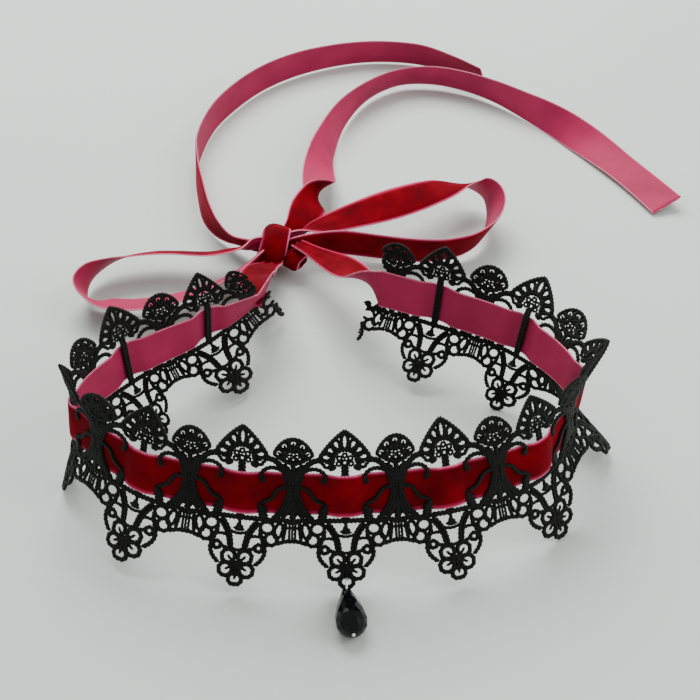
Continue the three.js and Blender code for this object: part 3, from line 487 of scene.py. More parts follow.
# Camera: place in mm from the tables' origin, and width of its view in degrees
CAMERA_FROM = (0.0, -330.6, 286.5)
CAMERA_FOV = 28.12
# Lights: name, place and size in metres, share of the key light's power
LIGHTS = [
    ("key", (-0.12, 0.42, 0.62), 0.55, 1.0),
    ("side", (0.55, -0.1, 0.5), 0.5, 0.3),
]
ROOM_COLOUR = (0.93, 0.96, 0.93, 1.0)
FLOOR_HALF = 3.0


class LaceSettings(bpy.types.PropertyGroup):
    """Sizes and colour of the lace."""

    scale: FloatProperty(
        name="Cord width", description="Width of the cords against the pattern's own",
        default=1.3, min=0.6, max=1.8, subtype="FACTOR")
    thickness: FloatProperty(
        name="Thickness", description="Thickness of the widest cords",
        default=1.1 * MM, subtype="DISTANCE", unit="LENGTH")
    colour: FloatVectorProperty(
        name="Thread", description="Colour of the lace's thread",
        default=(0.0022, 0.0024, 0.0019, 1.0), subtype="COLOR", size=4, min=0.0, max=1.0)


class RibbonSettings(bpy.types.PropertyGroup):
    """Sizes and colours of the ribbon."""

    weave: FloatProperty(
        name="Weave", description="How far the ribbon lies outside the bars and inside the scrolls",
        default=0.8 * MM, subtype="DISTANCE", unit="LENGTH")
    step: FloatProperty(
        name="Step", description="Length of one facet along the ribbon",
        default=1.2 * MM, subtype="DISTANCE", unit="LENGTH")
    velvet: FloatVectorProperty(
        name="Velvet", description="Colour of the pile",
        default=(0.14, 0.0004, 0.0045, 1.0), subtype="COLOR", size=4, min=0.0, max=1.0)
    satin: FloatVectorProperty(
        name="Satin", description="Colour of the back",
        default=(0.36, 0.018, 0.075, 1.0), subtype="COLOR", size=4, min=0.0, max=1.0)
    selvedge: FloatVectorProperty(
        name="Selvedge", description="Colour of the woven edges",
        default=(0.56, 0.10, 0.19, 1.0), subtype="COLOR", size=4, min=0.0, max=1.0)


class DropSettings(bpy.types.PropertyGroup):
    """Sizes of the bead and its ring."""

    bevel: FloatProperty(
        name="Facet edge", description="Width of the softened edges between facets",
        default=0.07 * MM, subtype="DISTANCE", unit="LENGTH")
    segments: IntProperty(
        name="Ring segments", description="Facets around the jump ring", default=48, min=12, max=96)


class StageSettings(bpy.types.PropertyGroup):
    """Floor and light."""

    floor: FloatVectorProperty(
        name="Floor", description="Colour of the table",
        default=(0.575, 0.63, 0.595, 1.0), subtype="COLOR", size=4, min=0.0, max=1.0)
    key: FloatProperty(
        name="Key light", description="Power of the large soft light behind",
        default=9.0, min=0.0, unit="POWER")
    fill: FloatProperty(
        name="Fill", description="Strength of the light from all round", default=0.75, min=0.0)


def spline(rows, at):
    """Smooth curve through evenly spaced rows, at places counted in rows."""
    rows = np.asarray(rows, float)
    last = len(rows) - 1
    padded = np.vstack([2 * rows[0] - rows[1], rows, 2 * rows[-1] - rows[-2]])
    at = np.asarray(at, float)
    i = np.clip(np.floor(at).astype(int), 0, last - 1)
    t = (at - i)[:, None]
    p, a, b, n = (padded[i + k] for k in range(4))
    return 0.5 * (2 * a + (b - p) * t + (2 * p - 5 * a + 4 * b - n) * t**2 + (3 * a - p - 3 * b + n) * t**3)


def smooth(x):
    """Eases from 0 to 1."""
    c = np.clip(x, 0, 1)
    return c * c * (3 - 2 * c)


def full_turn(count):
    """Evenly spaced angles round a circle."""
    return np.linspace(0, 2 * math.pi, count + 1)[:-1]


def band_point(s, v, t):
    """Points of the band's surface: s along it, v up it, t outward from it, in mm."""
    at = s / PITCH + BAND_MIDDLE
    row = spline(BAND, at)
    d = spline(BAND, at + BAND_STEP)[:, :2] - spline(BAND, at - BAND_STEP)[:, :2]
    d /= np.linalg.norm(d, axis=1)[:, None]
    nx, ny = d[:, 1], -d[:, 0]
    low, mid, up = (np.radians(row[:, k]) for k in (3, 4, 5))

    def lean(height):
        far = np.where(height < 0, low, up)
        return mid + (far - mid) * smooth((np.abs(height) - BEND_IN) / (BEND_OUT - BEND_IN))

    out = np.zeros_like(s)
    rise = np.zeros_like(s)
    for i in range(LEAN_STEPS):
        angle = lean(v * (i + 0.5) / LEAN_STEPS)
        out += np.sin(angle) * v / LEAN_STEPS
        rise += np.cos(angle) * v / LEAN_STEPS
    angle = lean(v)
    out += t * np.cos(angle)
    rise -= t * np.sin(angle)
    on = row[:, 6] * v
    x = row[:, 0] + nx * out - ny * on
    y = row[:, 1] + ny * out + nx * on
    return np.stack([x, y, row[:, 2] + rise], axis=1)


class Shape:
    """Vertices, faces, face slots and corner UVs of a piece, in mm."""

    def __init__(self):
        self.points = []
        self.faces = []
        self.slots = []
        self.uvs = []
        self.count = 0

    def loft(self, rings, along, around, slots=None, closed=False):
        """Adds a skin over rings of points, with caps on its ends unless it is closed."""
        n, k = rings.shape[:2]
        slots = slots or [0] * k
        base = self.count
        self.points.append(rings.reshape(-1, 3))
        self.count += n * k
        for i in range(n if closed else n - 1):
            j = (i + 1) % n
            near = along[i]
            far = along[i + 1] if i + 1 < len(along) else near + along[1] - along[0]
            for m in range(k):
                q = (m + 1) % k
                a, b = around[m], around[m + 1]
                self.faces.append((base + i * k + m, base + i * k + q, base + j * k + q, base + j * k + m))
                self.slots.append(slots[m])
                self.uvs.append(((near, a), (near, b), (far, b), (far, a)))
        if not closed:
            for i, order in ((0, range(k - 1, -1, -1)), (n - 1, range(k))):
                self.faces.append(tuple(base + i * k + m for m in order))
                self.slots.append(slots[0])
                self.uvs.append(tuple((along[i], around[m]) for m in order))

    def turned(self):
        """True if its faces look inward."""
        p = np.concatenate(self.points)
        thirds = np.array([(f[0], b, c) for f in self.faces for b, c in zip(f[1:-1], f[2:])])
        a, b, c = (p[thirds[:, i]] for i in range(3))
        return (a * np.cross(b, c)).sum() < 0


def make_piece(name, points, faces, slots, uvs, materials, smooth_faces=True):
    """A mesh object from points in mm, moved to the part's own origin."""
    mesh = bpy.data.meshes.new(name)
    mesh.from_pydata(((points + PLAN_SHIFT) * MM).tolist(), [], faces)
    for material in materials:
        mesh.materials.append(material)
    mesh.polygons.foreach_set("material_index", slots)
    mesh.polygons.foreach_set("use_smooth", [smooth_faces] * len(faces))
    layer = mesh.uv_layers.new(name="UVMap")
    layer.data.foreach_set("uv", [c for corner in uvs for pair in corner for c in pair])
    mesh.update()
    piece = bpy.data.objects.new(name, mesh)
    bpy.context.scene.collection.objects.link(piece)
    return piece


def finish_shape(name, shape, materials, smooth_faces=True):
    """A mesh object from a shape, with its faces looking outward."""
    faces = shape.faces
    uvs = shape.uvs
    if shape.turned():
        faces = [f[::-1] for f in faces]
        uvs = [u[::-1] for u in uvs]
    return make_piece(name, np.concatenate(shape.points), faces, shape.slots, uvs, materials, smooth_faces)


def dress(piece, slot, *nodes):
    """Rides on the one body, takes a slot's finish and stands for its CAD nodes."""
    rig.ride(piece, "root")
    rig.slot(piece, slot)
    if nodes:
        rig.replaces(piece, *nodes)
    return piece


# Materials

def node(material, kind, x, y):
    """Adds a node at a place in the material's tree."""
    made = material.node_tree.nodes.new(kind)
    made.location = (x, y)
    return made


def link(material, out, to):
    """Joins two sockets."""
    material.node_tree.links.new(out, to)


def colour_socket(sockets, name):
    """The colour socket of that name, on a node that has one for each kind of value."""
    return next(socket for socket in sockets if socket.name == name and socket.type == "RGBA")


def principled(name, sockets):
    """A material with one shader, with the given constants on its sockets."""
    material = bpy.data.materials.new(name)
    material.use_nodes = True
    shader = material.node_tree.nodes["Principled BSDF"]
    for socket, value in sockets.items():
        shader.inputs[socket].default_value = value
    return material, shader


def bump(material, shader, height, strength, distance):
    """Fine relief from a pattern."""
    made = node(material, "ShaderNodeBump", -260, -320)
    made.inputs["Strength"].default_value = strength
    made.inputs["Distance"].default_value = distance
    link(material, height, made.inputs["Height"])
    link(material, made.outputs["Normal"], shader.inputs["Normal"])


def noise(material, scale, detail=3.0, stretch=None, y=0):
    """Noise on the piece, or on its UVs where it is stretched."""
    where = node(material, "ShaderNodeTexCoord", -1300, y)
    made = node(material, "ShaderNodeTexNoise", -900, y)
    made.inputs["Scale"].default_value = scale
    made.inputs["Detail"].default_value = detail
    made.inputs["Roughness"].default_value = 0.55
    if stretch:
        mapping = node(material, "ShaderNodeMapping", -1100, y)
        mapping.inputs["Scale"].default_value = stretch
        link(material, where.outputs["UV"], mapping.inputs["Vector"])
        link(material, mapping.outputs["Vector"], made.inputs["Vector"])
    else:
        link(material, where.outputs["Object"], made.inputs["Vector"])
    return made


def ramp(material, fac, stops, x=-520, y=200):
    """Colours at given places of a factor."""
    made = node(material, "ShaderNodeValToRGB", x, y)
    link(material, fac, made.inputs["Fac"])
    elements = made.color_ramp.elements
    while len(elements) < len(stops):
        elements.new(0.5)
    for element, (position, colour) in zip(elements, stops):
        element.position = position
        element.color = colour
    return made


def shaded(colour, factor):
    """A colour made lighter or darker."""
    return tuple(min(c * factor, 1.0) for c in colour[:3]) + (1.0,)


def grey(level):
    """A grey of that level."""
    return (level, level, level, 1.0)


def thread_material(colour):
    """Black viscose thread, stitched across each cord."""
    material, shader = principled("lace_thread", {
        "Roughness": 0.5,
        "Specular IOR Level": 0.18,
        "Sheen Weight": 0.03,
        "Sheen Roughness": 0.4,
        "Sheen Tint": (0.8, 0.85, 0.75, 1.0),
    })
    tone = noise(material, 420.0, y=260)
    colours = ramp(material, tone.outputs["Fac"], [(0.3, shaded(colour, 0.6)), (0.72, shaded(colour, 1.9))])
    link(material, colours.outputs["Color"], shader.inputs["Base Color"])
    where = node(material, "ShaderNodeTexCoord", -1300, -300)
    mapping = node(material, "ShaderNodeMapping", -1100, -300)
    mapping.inputs["Scale"].default_value = (2.6, 1.0, 1.0)
    mapping.inputs["Rotation"].default_value = (0.0, 0.0, 0.3)
    stitches = node(material, "ShaderNodeTexWave", -900, -300)
    stitches.inputs["Scale"].default_value = 1.0
    stitches.inputs["Distortion"].default_value = 1.2
    link(material, where.outputs["UV"], mapping.inputs["Vector"])
    link(material, mapping.outputs["Vector"], stitches.inputs["Vector"])
    bump(material, shader, stitches.outputs["Fac"], strength=0.55, distance=0.15 * MM)
    return material


def velvet_material(colour):
    """Short red pile: dark when looked into and bright where it turns away, with a pinker highlight painted along its
    edges.
    """
    material, shader = principled("velvet_pile", {
        "Roughness": 0.9,
        "Specular IOR Level": 0.06,
        "Sheen Weight": 0.3,
        "Sheen Roughness": 0.3,
        "Sheen Tint": (1.0, 0.10, 0.22, 1.0),
    })
    patches = noise(material, 95.0, detail=2.0, y=320)
    tones = [(0.3, shaded(colour, 0.55)), (0.7, shaded(colour, 1.4))]
    tone = ramp(material, patches.outputs["Fac"], tones, y=320)
    where = node(material, "ShaderNodeTexCoord", -1300, 60)
    split = node(material, "ShaderNodeSeparateXYZ", -1100, 60)
    link(material, where.outputs["UV"], split.inputs["Vector"])
    # Painted highlight: this mask is bright near both edges of the ribbon's UVs and dark between them
    stops = [(0.04, grey(1.0)), (0.13, grey(0.0)), (0.92, grey(0.0)), (0.98, grey(1.0))]
    edge = ramp(material, split.outputs["Y"], stops, x=-800, y=60)
    edge_highlight_mix = node(material, "ShaderNodeMix", -260, 240)
    edge_highlight_mix.data_type = "RGBA"
    # Pinker colour painted on along the edges as a highlight
    colour_socket(edge_highlight_mix.inputs, "B").default_value = (0.52, 0.02, 0.09, 1.0)
    link(material, edge.outputs["Color"], edge_highlight_mix.inputs["Factor"])
    link(material, tone.outputs["Color"], colour_socket(edge_highlight_mix.inputs, "A"))
    link(material, colour_socket(edge_highlight_mix.outputs, "Result"), shader.inputs["Base Color"])
    pile = noise(material, 2600.0, detail=2.0, y=-320)
    bump(material, shader, pile.outputs["Fac"], strength=0.4, distance=0.15 * MM)
    return material


def satin_material(colour):
    """The ribbon's smooth back, with a fine weave."""
    material, shader = principled("ribbon_back", {"Roughness": 0.55, "Specular IOR Level": 0.12})
    patches = noise(material, 70.0, detail=2.0, y=260)
    tone = ramp(material, patches.outputs["Fac"], [(0.3, shaded(colour, 0.85)), (0.7, shaded(colour, 1.15))])
    link(material, tone.outputs["Color"], shader.inputs["Base Color"])
    threads = noise(material, 1.0, detail=1.0, stretch=(1.2, 260.0, 1.0), y=-320)
    bump(material, shader, threads.outputs["Fac"], strength=0.25, distance=0.08 * MM)
    return material


def selvedge_material(colour):
    """Woven edge without pile, with the loops of its threads."""
    material, shader = principled("ribbon_selvedge", {
        "Roughness": 0.5,
        "Sheen Weight": 0.3,
        "Sheen Tint": (1.0, 0.6, 0.7, 1.0),
    })
    loops = noise(material, 1.0, detail=2.0, stretch=(2.2, 8.0, 1.0), y=260)
    tone = ramp(material, loops.outputs["Fac"], [(0.35, shaded(colour, 0.6)), (0.65, shaded(colour, 1.4))])
    link(material, tone.outputs["Color"], shader.inputs["Base Color"])
    bump(material, shader, loops.outputs["Fac"], strength=0.6, distance=0.15 * MM)
    return material


def glass_material():
    """Opaque black glass, polished, with faint wear on its facets."""
    material, shader = principled("black_glass", {
        "Base Color": (0.003, 0.003, 0.004, 1.0),
        "Specular IOR Level": 0.16,
    })
    wear = noise(material, 260.0, y=-60)
    rough = ramp(material, wear.outputs["Fac"], [(0.35, grey(0.03)), (0.75, grey(0.14))], y=-60)
    link(material, rough.outputs["Color"], shader.inputs["Roughness"])
    return material


def silver_material():
    """Bright plated wire with fine scratches."""
    material, shader = principled("ring_silver", {"Metallic": 1.0, "Base Color": (0.78, 0.78, 0.80, 1.0)})
    marks = noise(material, 900.0)
    rough = ramp(material, marks.outputs["Fac"], [(0.3, grey(0.12)), (0.75, grey(0.32))], y=0)
    link(material, rough.outputs["Color"], shader.inputs["Roughness"])
    bump(material, shader, marks.outputs["Fac"], strength=0.15, distance=0.02 * MM)
    return material


def floor_material(colour):
    """A pale matt table."""
    material, shader = principled("table", {"Roughness": 0.7})
    patches = noise(material, 4.0, detail=2.0, y=200)
    tone = ramp(material, patches.outputs["Fac"], [(0.3, shaded(colour, 0.97)), (0.7, shaded(colour, 1.03))])
    link(material, tone.outputs["Color"], shader.inputs["Base Color"])
    return material


def shared(name, maker, *values):
    """A material made once and used by several pieces."""
    return bpy.data.materials.get(name) or maker(*values)


def ribbon_set():
    """The ribbon's materials, in the order of its slots."""
    s = bpy.context.scene.choker_ribbon
    return [
        shared("velvet_pile", velvet_material, s.velvet),
        shared("ribbon_back", satin_material, s.satin),
        shared("ribbon_selvedge", selvedge_material, s.selvedge),
    ]


# Lace

def cord_line(points, widths, closed):
    """Even samples along a cord, with its width, and its length at each of them."""
    rows = np.column_stack([np.asarray(points, float), widths])
    if closed:
        rows = np.vstack([rows, rows[:1]])
        lapped = np.vstack([rows[-2], rows, rows[1]])
        fine = spline(lapped, np.linspace(1, len(rows), CORD_FINE * len(rows)))
    else:
        fine = spline(rows, np.linspace(0, len(rows) - 1, CORD_FINE * len(rows)))
    length = np.concatenate([[0], np.cumsum(np.linalg.norm(np.diff(fine[:, :2], axis=0), axis=1))])
    count = max(int(round(length[-1] / CORD_STEP)), 6 if closed else 3)
    at = np.linspace(0, length[-1], count + 1)
    return np.column_stack([np.interp(at, length, fine[:, k]) for k in range(3)]), at


def add_cord(shape, points, width, scale, thickness, closed=False, ends=(True, True)):
    """Adds one cord of the flat lace as a knobbly tube of u, v and t, narrow at its free ends."""
    widths = np.full(len(points), width) if np.isscalar(width) else np.asarray(width, float)
    line, at = cord_line(points, widths, closed)
    if closed:
        line, at = line[:-1], at[:-1]
        ahead, behind = np.roll(line, -1, axis=0), np.roll(line, 1, axis=0)
        d = ahead[:, :2] - behind[:, :2]
    else:
        d = np.gradient(line[:, :2], axis=0)
    d /= np.linalg.norm(d, axis=1)[:, None] + 1e-9
    side = np.stack([-d[:, 1], d[:, 0]], axis=1)
    half = line[:, 2] * scale / 2
    high = np.minimum(half * CORD_FLAT, thickness / 2)
    if not closed:
        for end, inward in ((0, 1), (-1, -1)):
            if ends[end]:
                half[end] *= CORD_TIP
                high[end] *= CORD_TIP
                half[end + inward] *= CORD_NECK
    around = np.arange(CORD_SIDES) * 2 * math.pi / CORD_SIDES
    knobs = 1 + KNOB_DEPTH * np.cos(2 * math.pi * at[:, None] / KNOB_PITCH + around[None, :])
    c, s = np.cos(around), np.sin(around)
    uv = line[:, None, :2] + side[:, None, :] * (half[:, None] * knobs * c)[:, :, None]
    t = high[:, None] * knobs * s
    rings = np.concatenate([uv, t[:, :, None]], axis=2)
    shape.loft(rings, at, np.arange(CORD_SIDES + 1) / CORD_SIDES, closed=closed)


def petal(centre, angle, reach, inner, half):
    """Closed petal of a flower, as flat points: up one side and back down the other."""
    c, s = math.cos(math.radians(angle)), math.sin(math.radians(angle))
    side = [(inner, 0)] + [(inner + far * (reach - inner), w) for far, w in PETAL_SWELL] + [(reach, 0)]
    loop = side + [(r, -w) for r, w in side[-2:0:-1]]
    return [(centre[0] + r * c - w * half * s, centre[1] + r * s + w * half * c) for r, w in loop]


def arc(centre, radius, start, end, count=9):
    """Points of an arc between two angles in degrees."""
    angles = np.radians(np.linspace(start, end, count))
    return [(centre[0] + radius * math.cos(a), centre[1] + radius * math.sin(a)) for a in angles]


def ring(u, v, a, b, tilt, count=8):
    """Points of an oval with the half sizes a and b."""
    c, s = math.cos(math.radians(tilt)), math.sin(math.radians(tilt))
    turns = [2 * math.pi * i / count for i in range(count)]
    upright = [(a * math.cos(t), b * math.sin(t)) for t in turns]
    return [(u + x * c - y * s, v + x * s + y * c) for x, y in upright]


def is_free(point):
    """True if a cord's end doesn't meet the mirrored half."""
    return abs(point[0]) > ON_LINE and abs(point[0] - HALF) > ON_LINE


def half_cords():
    """(points, width, closed, ends) of each cord of half a repeat, and of those on its middle lines."""
    cords = []
    for width, points in OPEN_CORDS:
        cords.append((points, width, False, (is_free(points[0]), is_free(points[-1]))))
    for angle, reach in FAN_PETALS:
        cords.append((petal(FAN_CENTRE, angle, reach, FAN_INNER, FAN_HALF), PETAL_CORD, True, None))
    cords.append((arc(FAN_CENTRE, FAN_RIM_R, 90, FAN_RIM_END), RIM_CORD, False, (False, True)))
    for angle, reach in SCALLOP_PETALS:
        outline = petal(SCALLOP_CENTRE, angle, reach, SCALLOP_INNER, SCALLOP_HALF)
        cords.append((outline, PETAL_CORD, True, None))
        c, s = math.cos(math.radians(angle)), math.sin(math.radians(angle))
        bar = [(SCALLOP_CENTRE[0] + r * c, SCALLOP_CENTRE[1] + r * s) for r in BAR_PLACES]
        cords.append((bar, BAR_CORD, False, (True, True)))
    top = petal(SCALLOP_CENTRE, 90, SCALLOP_TOP, SCALLOP_INNER, SCALLOP_HALF)
    cords.append((top[:len(PETAL_SWELL) + 2], PETAL_CORD, False, (False, False)))
    rim = arc(SCALLOP_CENTRE, SCALLOP_RIM_R, 90, SCALLOP_RIM_END)
    cords.append((rim, PETAL_CORD, False, (False, True)))
    for u, v, a, b, tilt, width in RINGS:
        cords.append((ring(u, v, a, b, tilt), width, True, None))
    middle = [(points, width, False, (True, True)) for width, points in MIDDLE_CORDS]
    middle += [(ring(u, v, a, b, tilt), width, True, None) for u, v, a, b, tilt, width in MIDDLE_RINGS]
    return cords, middle


def cut_short(points, width):
    """The runs of a cord that stay when the lace is cut off, further out below the ribbon."""
    widths = [width] * len(points) if np.isscalar(width) else list(width)
    at = np.linspace(0, len(points) - 1, CUT_FINE * len(points))
    runs, run = [], []
    for row in spline(np.column_stack([points, widths]), at):
        if row[0] >= (CUT_LOW if row[1] < -BEND_OUT / 2 else CUT_AT):
            run.append(row)
        elif run:
            runs.append(run)
            run = []
    runs.append(run)
    return [np.array(r) for r in runs if len(r) >= CUT_SHORTEST]


def lace_shape(cords, settings, cut=False):
    """The tubes of some cords of the flat lace, whole or cut short."""
    shape = Shape()
    thickness = settings.thickness / MM
    for points, width, closed, ends in cords:
        if cut:
            loop = list(points) + [points[0]] if closed else points
            for run in cut_short(loop, width):
                add_cord(shape, run[::CUT_THIN, :2], run[::CUT_THIN, 2], settings.scale, thickness)
        else:
            add_cord(shape, points, width, settings.scale, thickness, closed, ends)
    return shape


def lace_length(name, places, templates, material):
    """One length of the lace: a joined mesh of the half repeats at the given places."""
    points, faces, uvs, count = [], [], [], 0
    for unit, side, kind in places:
        shape = templates[kind]
        flat = np.concatenate(shape.points)
        order = 1 if side > 0 else -1
        points.append(band_point(unit * PITCH + side * flat[:, 0], flat[:, 1], flat[:, 2]))
        faces += [tuple(count + i for i in f)[::order] for f in shape.faces]
        uvs += [u[::order] for u in shape.uvs]
        count += len(flat)
    return make_piece(name, np.concatenate(points), faces, [0] * len(faces), uvs, [material])


class CHOKER_OT_lace(bpy.types.Operator):
    """Builds the pierced lace as knobbly cords that follow the band"""

    bl_idname = "choker.lace"
    bl_label = "Build lace"

    def execute(self, context):
        settings = context.scene.choker_lace
        cords, middle = half_cords()
        templates = {
            "half": lace_shape(cords, settings),
            "middle": lace_shape(middle, settings),
            "cut": lace_shape(cords + middle, settings, cut=True),
        }
        material = shared("lace_thread", thread_material, settings.colour)
        pieces = {}
        for name, units in LACE_PIECES.items():
            places = [(u, side, "half") for u in units for side in (-1, 1)]
            places += [(u, 1, "middle") for u in units]
            length = len(units) * PITCH
            if FIRST_UNIT in units:
                places.append((FIRST_UNIT - 1, 1, "cut"))
                length += HALF - CUT_AT
            if LAST_UNIT in units:
                places.append((LAST_UNIT + 1, -1, "cut"))
                length += HALF - CUT_AT
            piece = lace_length(name, places, templates, material)
            pieces[name] = (dress(piece, "lace"), length)
        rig.replaces(pieces["lace_front"][0], "lace_band")
        for piece, length in pieces.values():
            flat = (LACE_HIGH * MM, length * MM)
            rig.sheet(piece, flat=flat, held="stretched", rests_on=["ribbon_in_band"],
                     area=flat[0] * flat[1] * LACE_FILL)
        return {"FINISHED"}


# Ribbon

def add_ribbon(shape, middle, across, out, half):
    """Adds a ribbon along given middles, its pile on the out side, in pleats where it is drawn together."""
    length = np.concatenate([[0], np.cumsum(np.linalg.norm(np.diff(middle, axis=0), axis=1))])
    drawn = 1 - half[:, None] / (RIBBON_W / 2)
    lift = SECTION_HIGH[None, :] + PLEAT * drawn * np.cos(PLEATS * math.pi * SECTION_ACROSS[None, :])
    rings = (middle[:, None, :] + across[:, None, :] * (SECTION_ACROSS[None, :] * half[:, None])[:, :, None]
             + out[:, None, :] * lift[:, :, None])
    shape.loft(rings, length, SECTION_AROUND, SECTION_SLOTS)
    return length[-1]


def strand(rows, step, outward):
    """Middles and directions of a strand given by a table, in mm."""
    rows = np.asarray(rows, float)
    span = np.linalg.norm(np.diff(rows[:, :3], axis=0), axis=1).sum()
    at = np.linspace(0, len(rows) - 1, int(span / step) + 1)
    values = spline(rows, at)
    middle = values[:, :3]
    along = np.gradient(middle, axis=0)
    along /= np.linalg.norm(along, axis=1)[:, None]
    across = values[:, 3:6] - along * (values[:, 3:6] * along).sum(1)[:, None]
    across /= np.linalg.norm(across, axis=1)[:, None]
    out = np.cross(along, across) * outward
    return middle, across, out, values[:, 6] / 2


def weave(u, depth):
    """How far the ribbon lies outward: outside near a bar, inside away from it."""
    return depth * (1 - 2 * smooth((np.abs(u) - WEAVE_BAR) / WEAVE_RUN))


def band_run(step, depth):
    """Middles and directions of the ribbon while it runs in the lace."""
    start = FIRST_UNIT * PITCH - BAND_END
    end = LAST_UNIT * PITCH + BAND_END
    s = np.linspace(start, end, int((end - start) / step) + 1)
    u = (s + HALF) % PITCH - HALF
    edge = np.minimum(s - start, end - s)
    u = np.where(edge < BAND_END - HALF, HALF, u)
    t = weave(u, depth)
    zero = np.zeros_like(s)
    middle = band_point(s, zero, t)
    across = band_point(s, zero + 1, t) - band_point(s, zero - 1, t)
    across /= np.linalg.norm(across, axis=1)[:, None]
    along = np.gradient(middle, axis=0)
    along -= across * (along * across).sum(1)[:, None]
    along /= np.linalg.norm(along, axis=1)[:, None]
    out = np.cross(along, across)
    straight = band_point(s, zero, t + 1) - middle
    out *= np.sign((out * straight).sum(1))[:, None]
    return middle, across, out, np.full(len(s), RIBBON_W / 2)


class CHOKER_OT_ribbon(bpy.types.Operator):
    """Builds the ribbon woven through the lace and its two ends that run to the knot"""

    bl_idname = "choker.ribbon"
    bl_label = "Build ribbon in the band"

    def execute(self, context):
        settings = context.scene.choker_ribbon
        step = settings.step / MM
        left = [a[::-1] for a in strand(LINK_LEFT, step, -1)]
        right = strand(LINK_RIGHT, step, 1)
        band = band_run(step, settings.weave / MM)
        run = [np.concatenate(parts) for parts in zip(left, band, right)]
        shape = Shape()
        length = add_ribbon(shape, *run)
        piece = dress(finish_shape("ribbon_in_band", shape, ribbon_set()), "velvet", "ribbon_band")
        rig.sheet(piece, flat=(RIBBON_W * MM, length * MM), held="stretched", rests_on=["lace_front"])
        return {"FINISHED"}


class CHOKER_OT_bow(bpy.types.Operator):
    """Builds the bow's loops, tails and knot"""

    bl_idname = "choker.bow"
    bl_label = "Build bow"

    def execute(self, context):
        settings = context.scene.choker_ribbon
        step = settings.step / MM
        parts = [
            ("bow_loop_left_ribbon", LOOP_LEFT, 1, "bow_loop_left"),
            ("bow_loop_right_ribbon", LOOP_RIGHT, -1, "bow_loop_right"),
            ("tail_left_ribbon", TAIL_LEFT, -1, "ribbon_tail_left"),
            ("tail_right_ribbon", TAIL_RIGHT, 1, "ribbon_tail_right"),
        ]
        for name, rows, outward, cad in parts:
            shape = Shape()
            length = add_ribbon(shape, *strand(rows, step, outward))
            piece = dress(finish_shape(name, shape, ribbon_set()), "velvet", cad)
            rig.sheet(piece, flat=(RIBBON_W * MM, length * MM), held="folded", rests_on=["knot_wrap"])
        build_knot()
        return {"FINISHED"}


def wrap(shape, centre, heading, half_width, radius, bulge, lean, flare):
    """A strip of ribbon drawn round an axis that lies at a heading in plan, with its folds."""
    a = SECTION_ACROSS
    fold_depth, fold_waves, fold_shift = KNOT_FOLD
    crease_depth, crease_waves, crease_shift = KNOT_CREASE
    axis = np.array([math.cos(math.radians(heading)), math.sin(math.radians(heading)), 0.0])
    front = np.array([axis[1], -axis[0], 0.0])
    turns = full_turn(KNOT_STEPS)
    rings = []
    for turn in turns:
        fold = fold_depth * np.sin(fold_waves * turn + fold_shift * a)
        crease = crease_depth * np.cos(crease_waves * turn - crease_shift * a)
        open_edge = flare * np.clip(a, 0, 1) ** 3 * max(math.sin(turn + KNOT_OPEN_AT), 0.0)
        r = radius - bulge * a**2 + (fold + crease) + SECTION_HIGH + open_edge
        along = half_width * a + lean * math.sin(turn)
        rise = r * math.sin(turn) * (1.0 if turn < math.pi else KNOT_FLAT)
        ring_points = (np.array(centre) + axis * along[:, None] + front * (r * math.cos(turn))[:, None]
                       + np.array([0, 0, 1.0]) * rise[:, None])
        rings.append(ring_points)
    shape.loft(np.array(rings), turns * radius, SECTION_AROUND, SECTION_SLOTS, closed=True)
    return 2 * math.pi * radius


def build_knot():
    """The turns of ribbon round the knot."""
    shape = Shape()
    length = sum(wrap(shape, *turn) for turn in KNOT_TURNS)
    piece = dress(finish_shape("knot_wrap", shape, ribbon_set()), "velvet", "bow_knot")
    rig.sheet(piece, flat=(RIBBON_W * MM, length * MM), held="folded", rests_on=["table"])


# Drop

def drop_directions():
    """The bead's two ends, its axis, and two directions across it."""
    start, end = np.array(BEAD_TIP), np.array(BEAD_END)
    axis = (end - start) / np.linalg.norm(end - start)
    side = np.cross([0, 0, 1.0], axis)
    side /= np.linalg.norm(side)
    return start, end, axis, side, np.cross(axis, side)


def circle(centre, radius, angles, side, up):
    """Points at given angles of a circle that lies along two directions."""
    return centre + radius * (np.cos(angles)[:, None] * side + np.sin(angles)[:, None] * up)


def build_bead(settings):
    """The faceted teardrop."""
    start, _, axis, side, up = drop_directions()
    shape = Shape()
    k = BEAD_SIDES
    for i, (along, r) in enumerate(BEAD):
        angles = (np.arange(k) + (i % 2) / 2) * 2 * math.pi / k
        shape.points.append(circle(start + axis * along, r, angles, side, up))
    for i in range(len(BEAD) - 1):
        for m in range(k):
            a, b = i * k + m, i * k + (m + 1) % k
            c, d = a + k, b + k
            shape.faces += [(a, b, c), (b, d, c)] if i % 2 == 0 else [(a, b, d), (a, d, c)]
    shape.faces.append(tuple(range(k))[::-1])
    shape.faces.append(tuple((len(BEAD) - 1) * k + m for m in range(k)))
    shape.slots = [0] * len(shape.faces)
    shape.uvs = [tuple((0.0, 0.0) for _ in f) for f in shape.faces]
    bead = finish_shape("teardrop", shape, [shared("black_glass", glass_material)], False)
    edge = bead.modifiers.new("facet edges", "BEVEL")
    edge.width = settings.bevel
    edge.segments = 2
    dress(bead, "black_stone", "drop_bead")


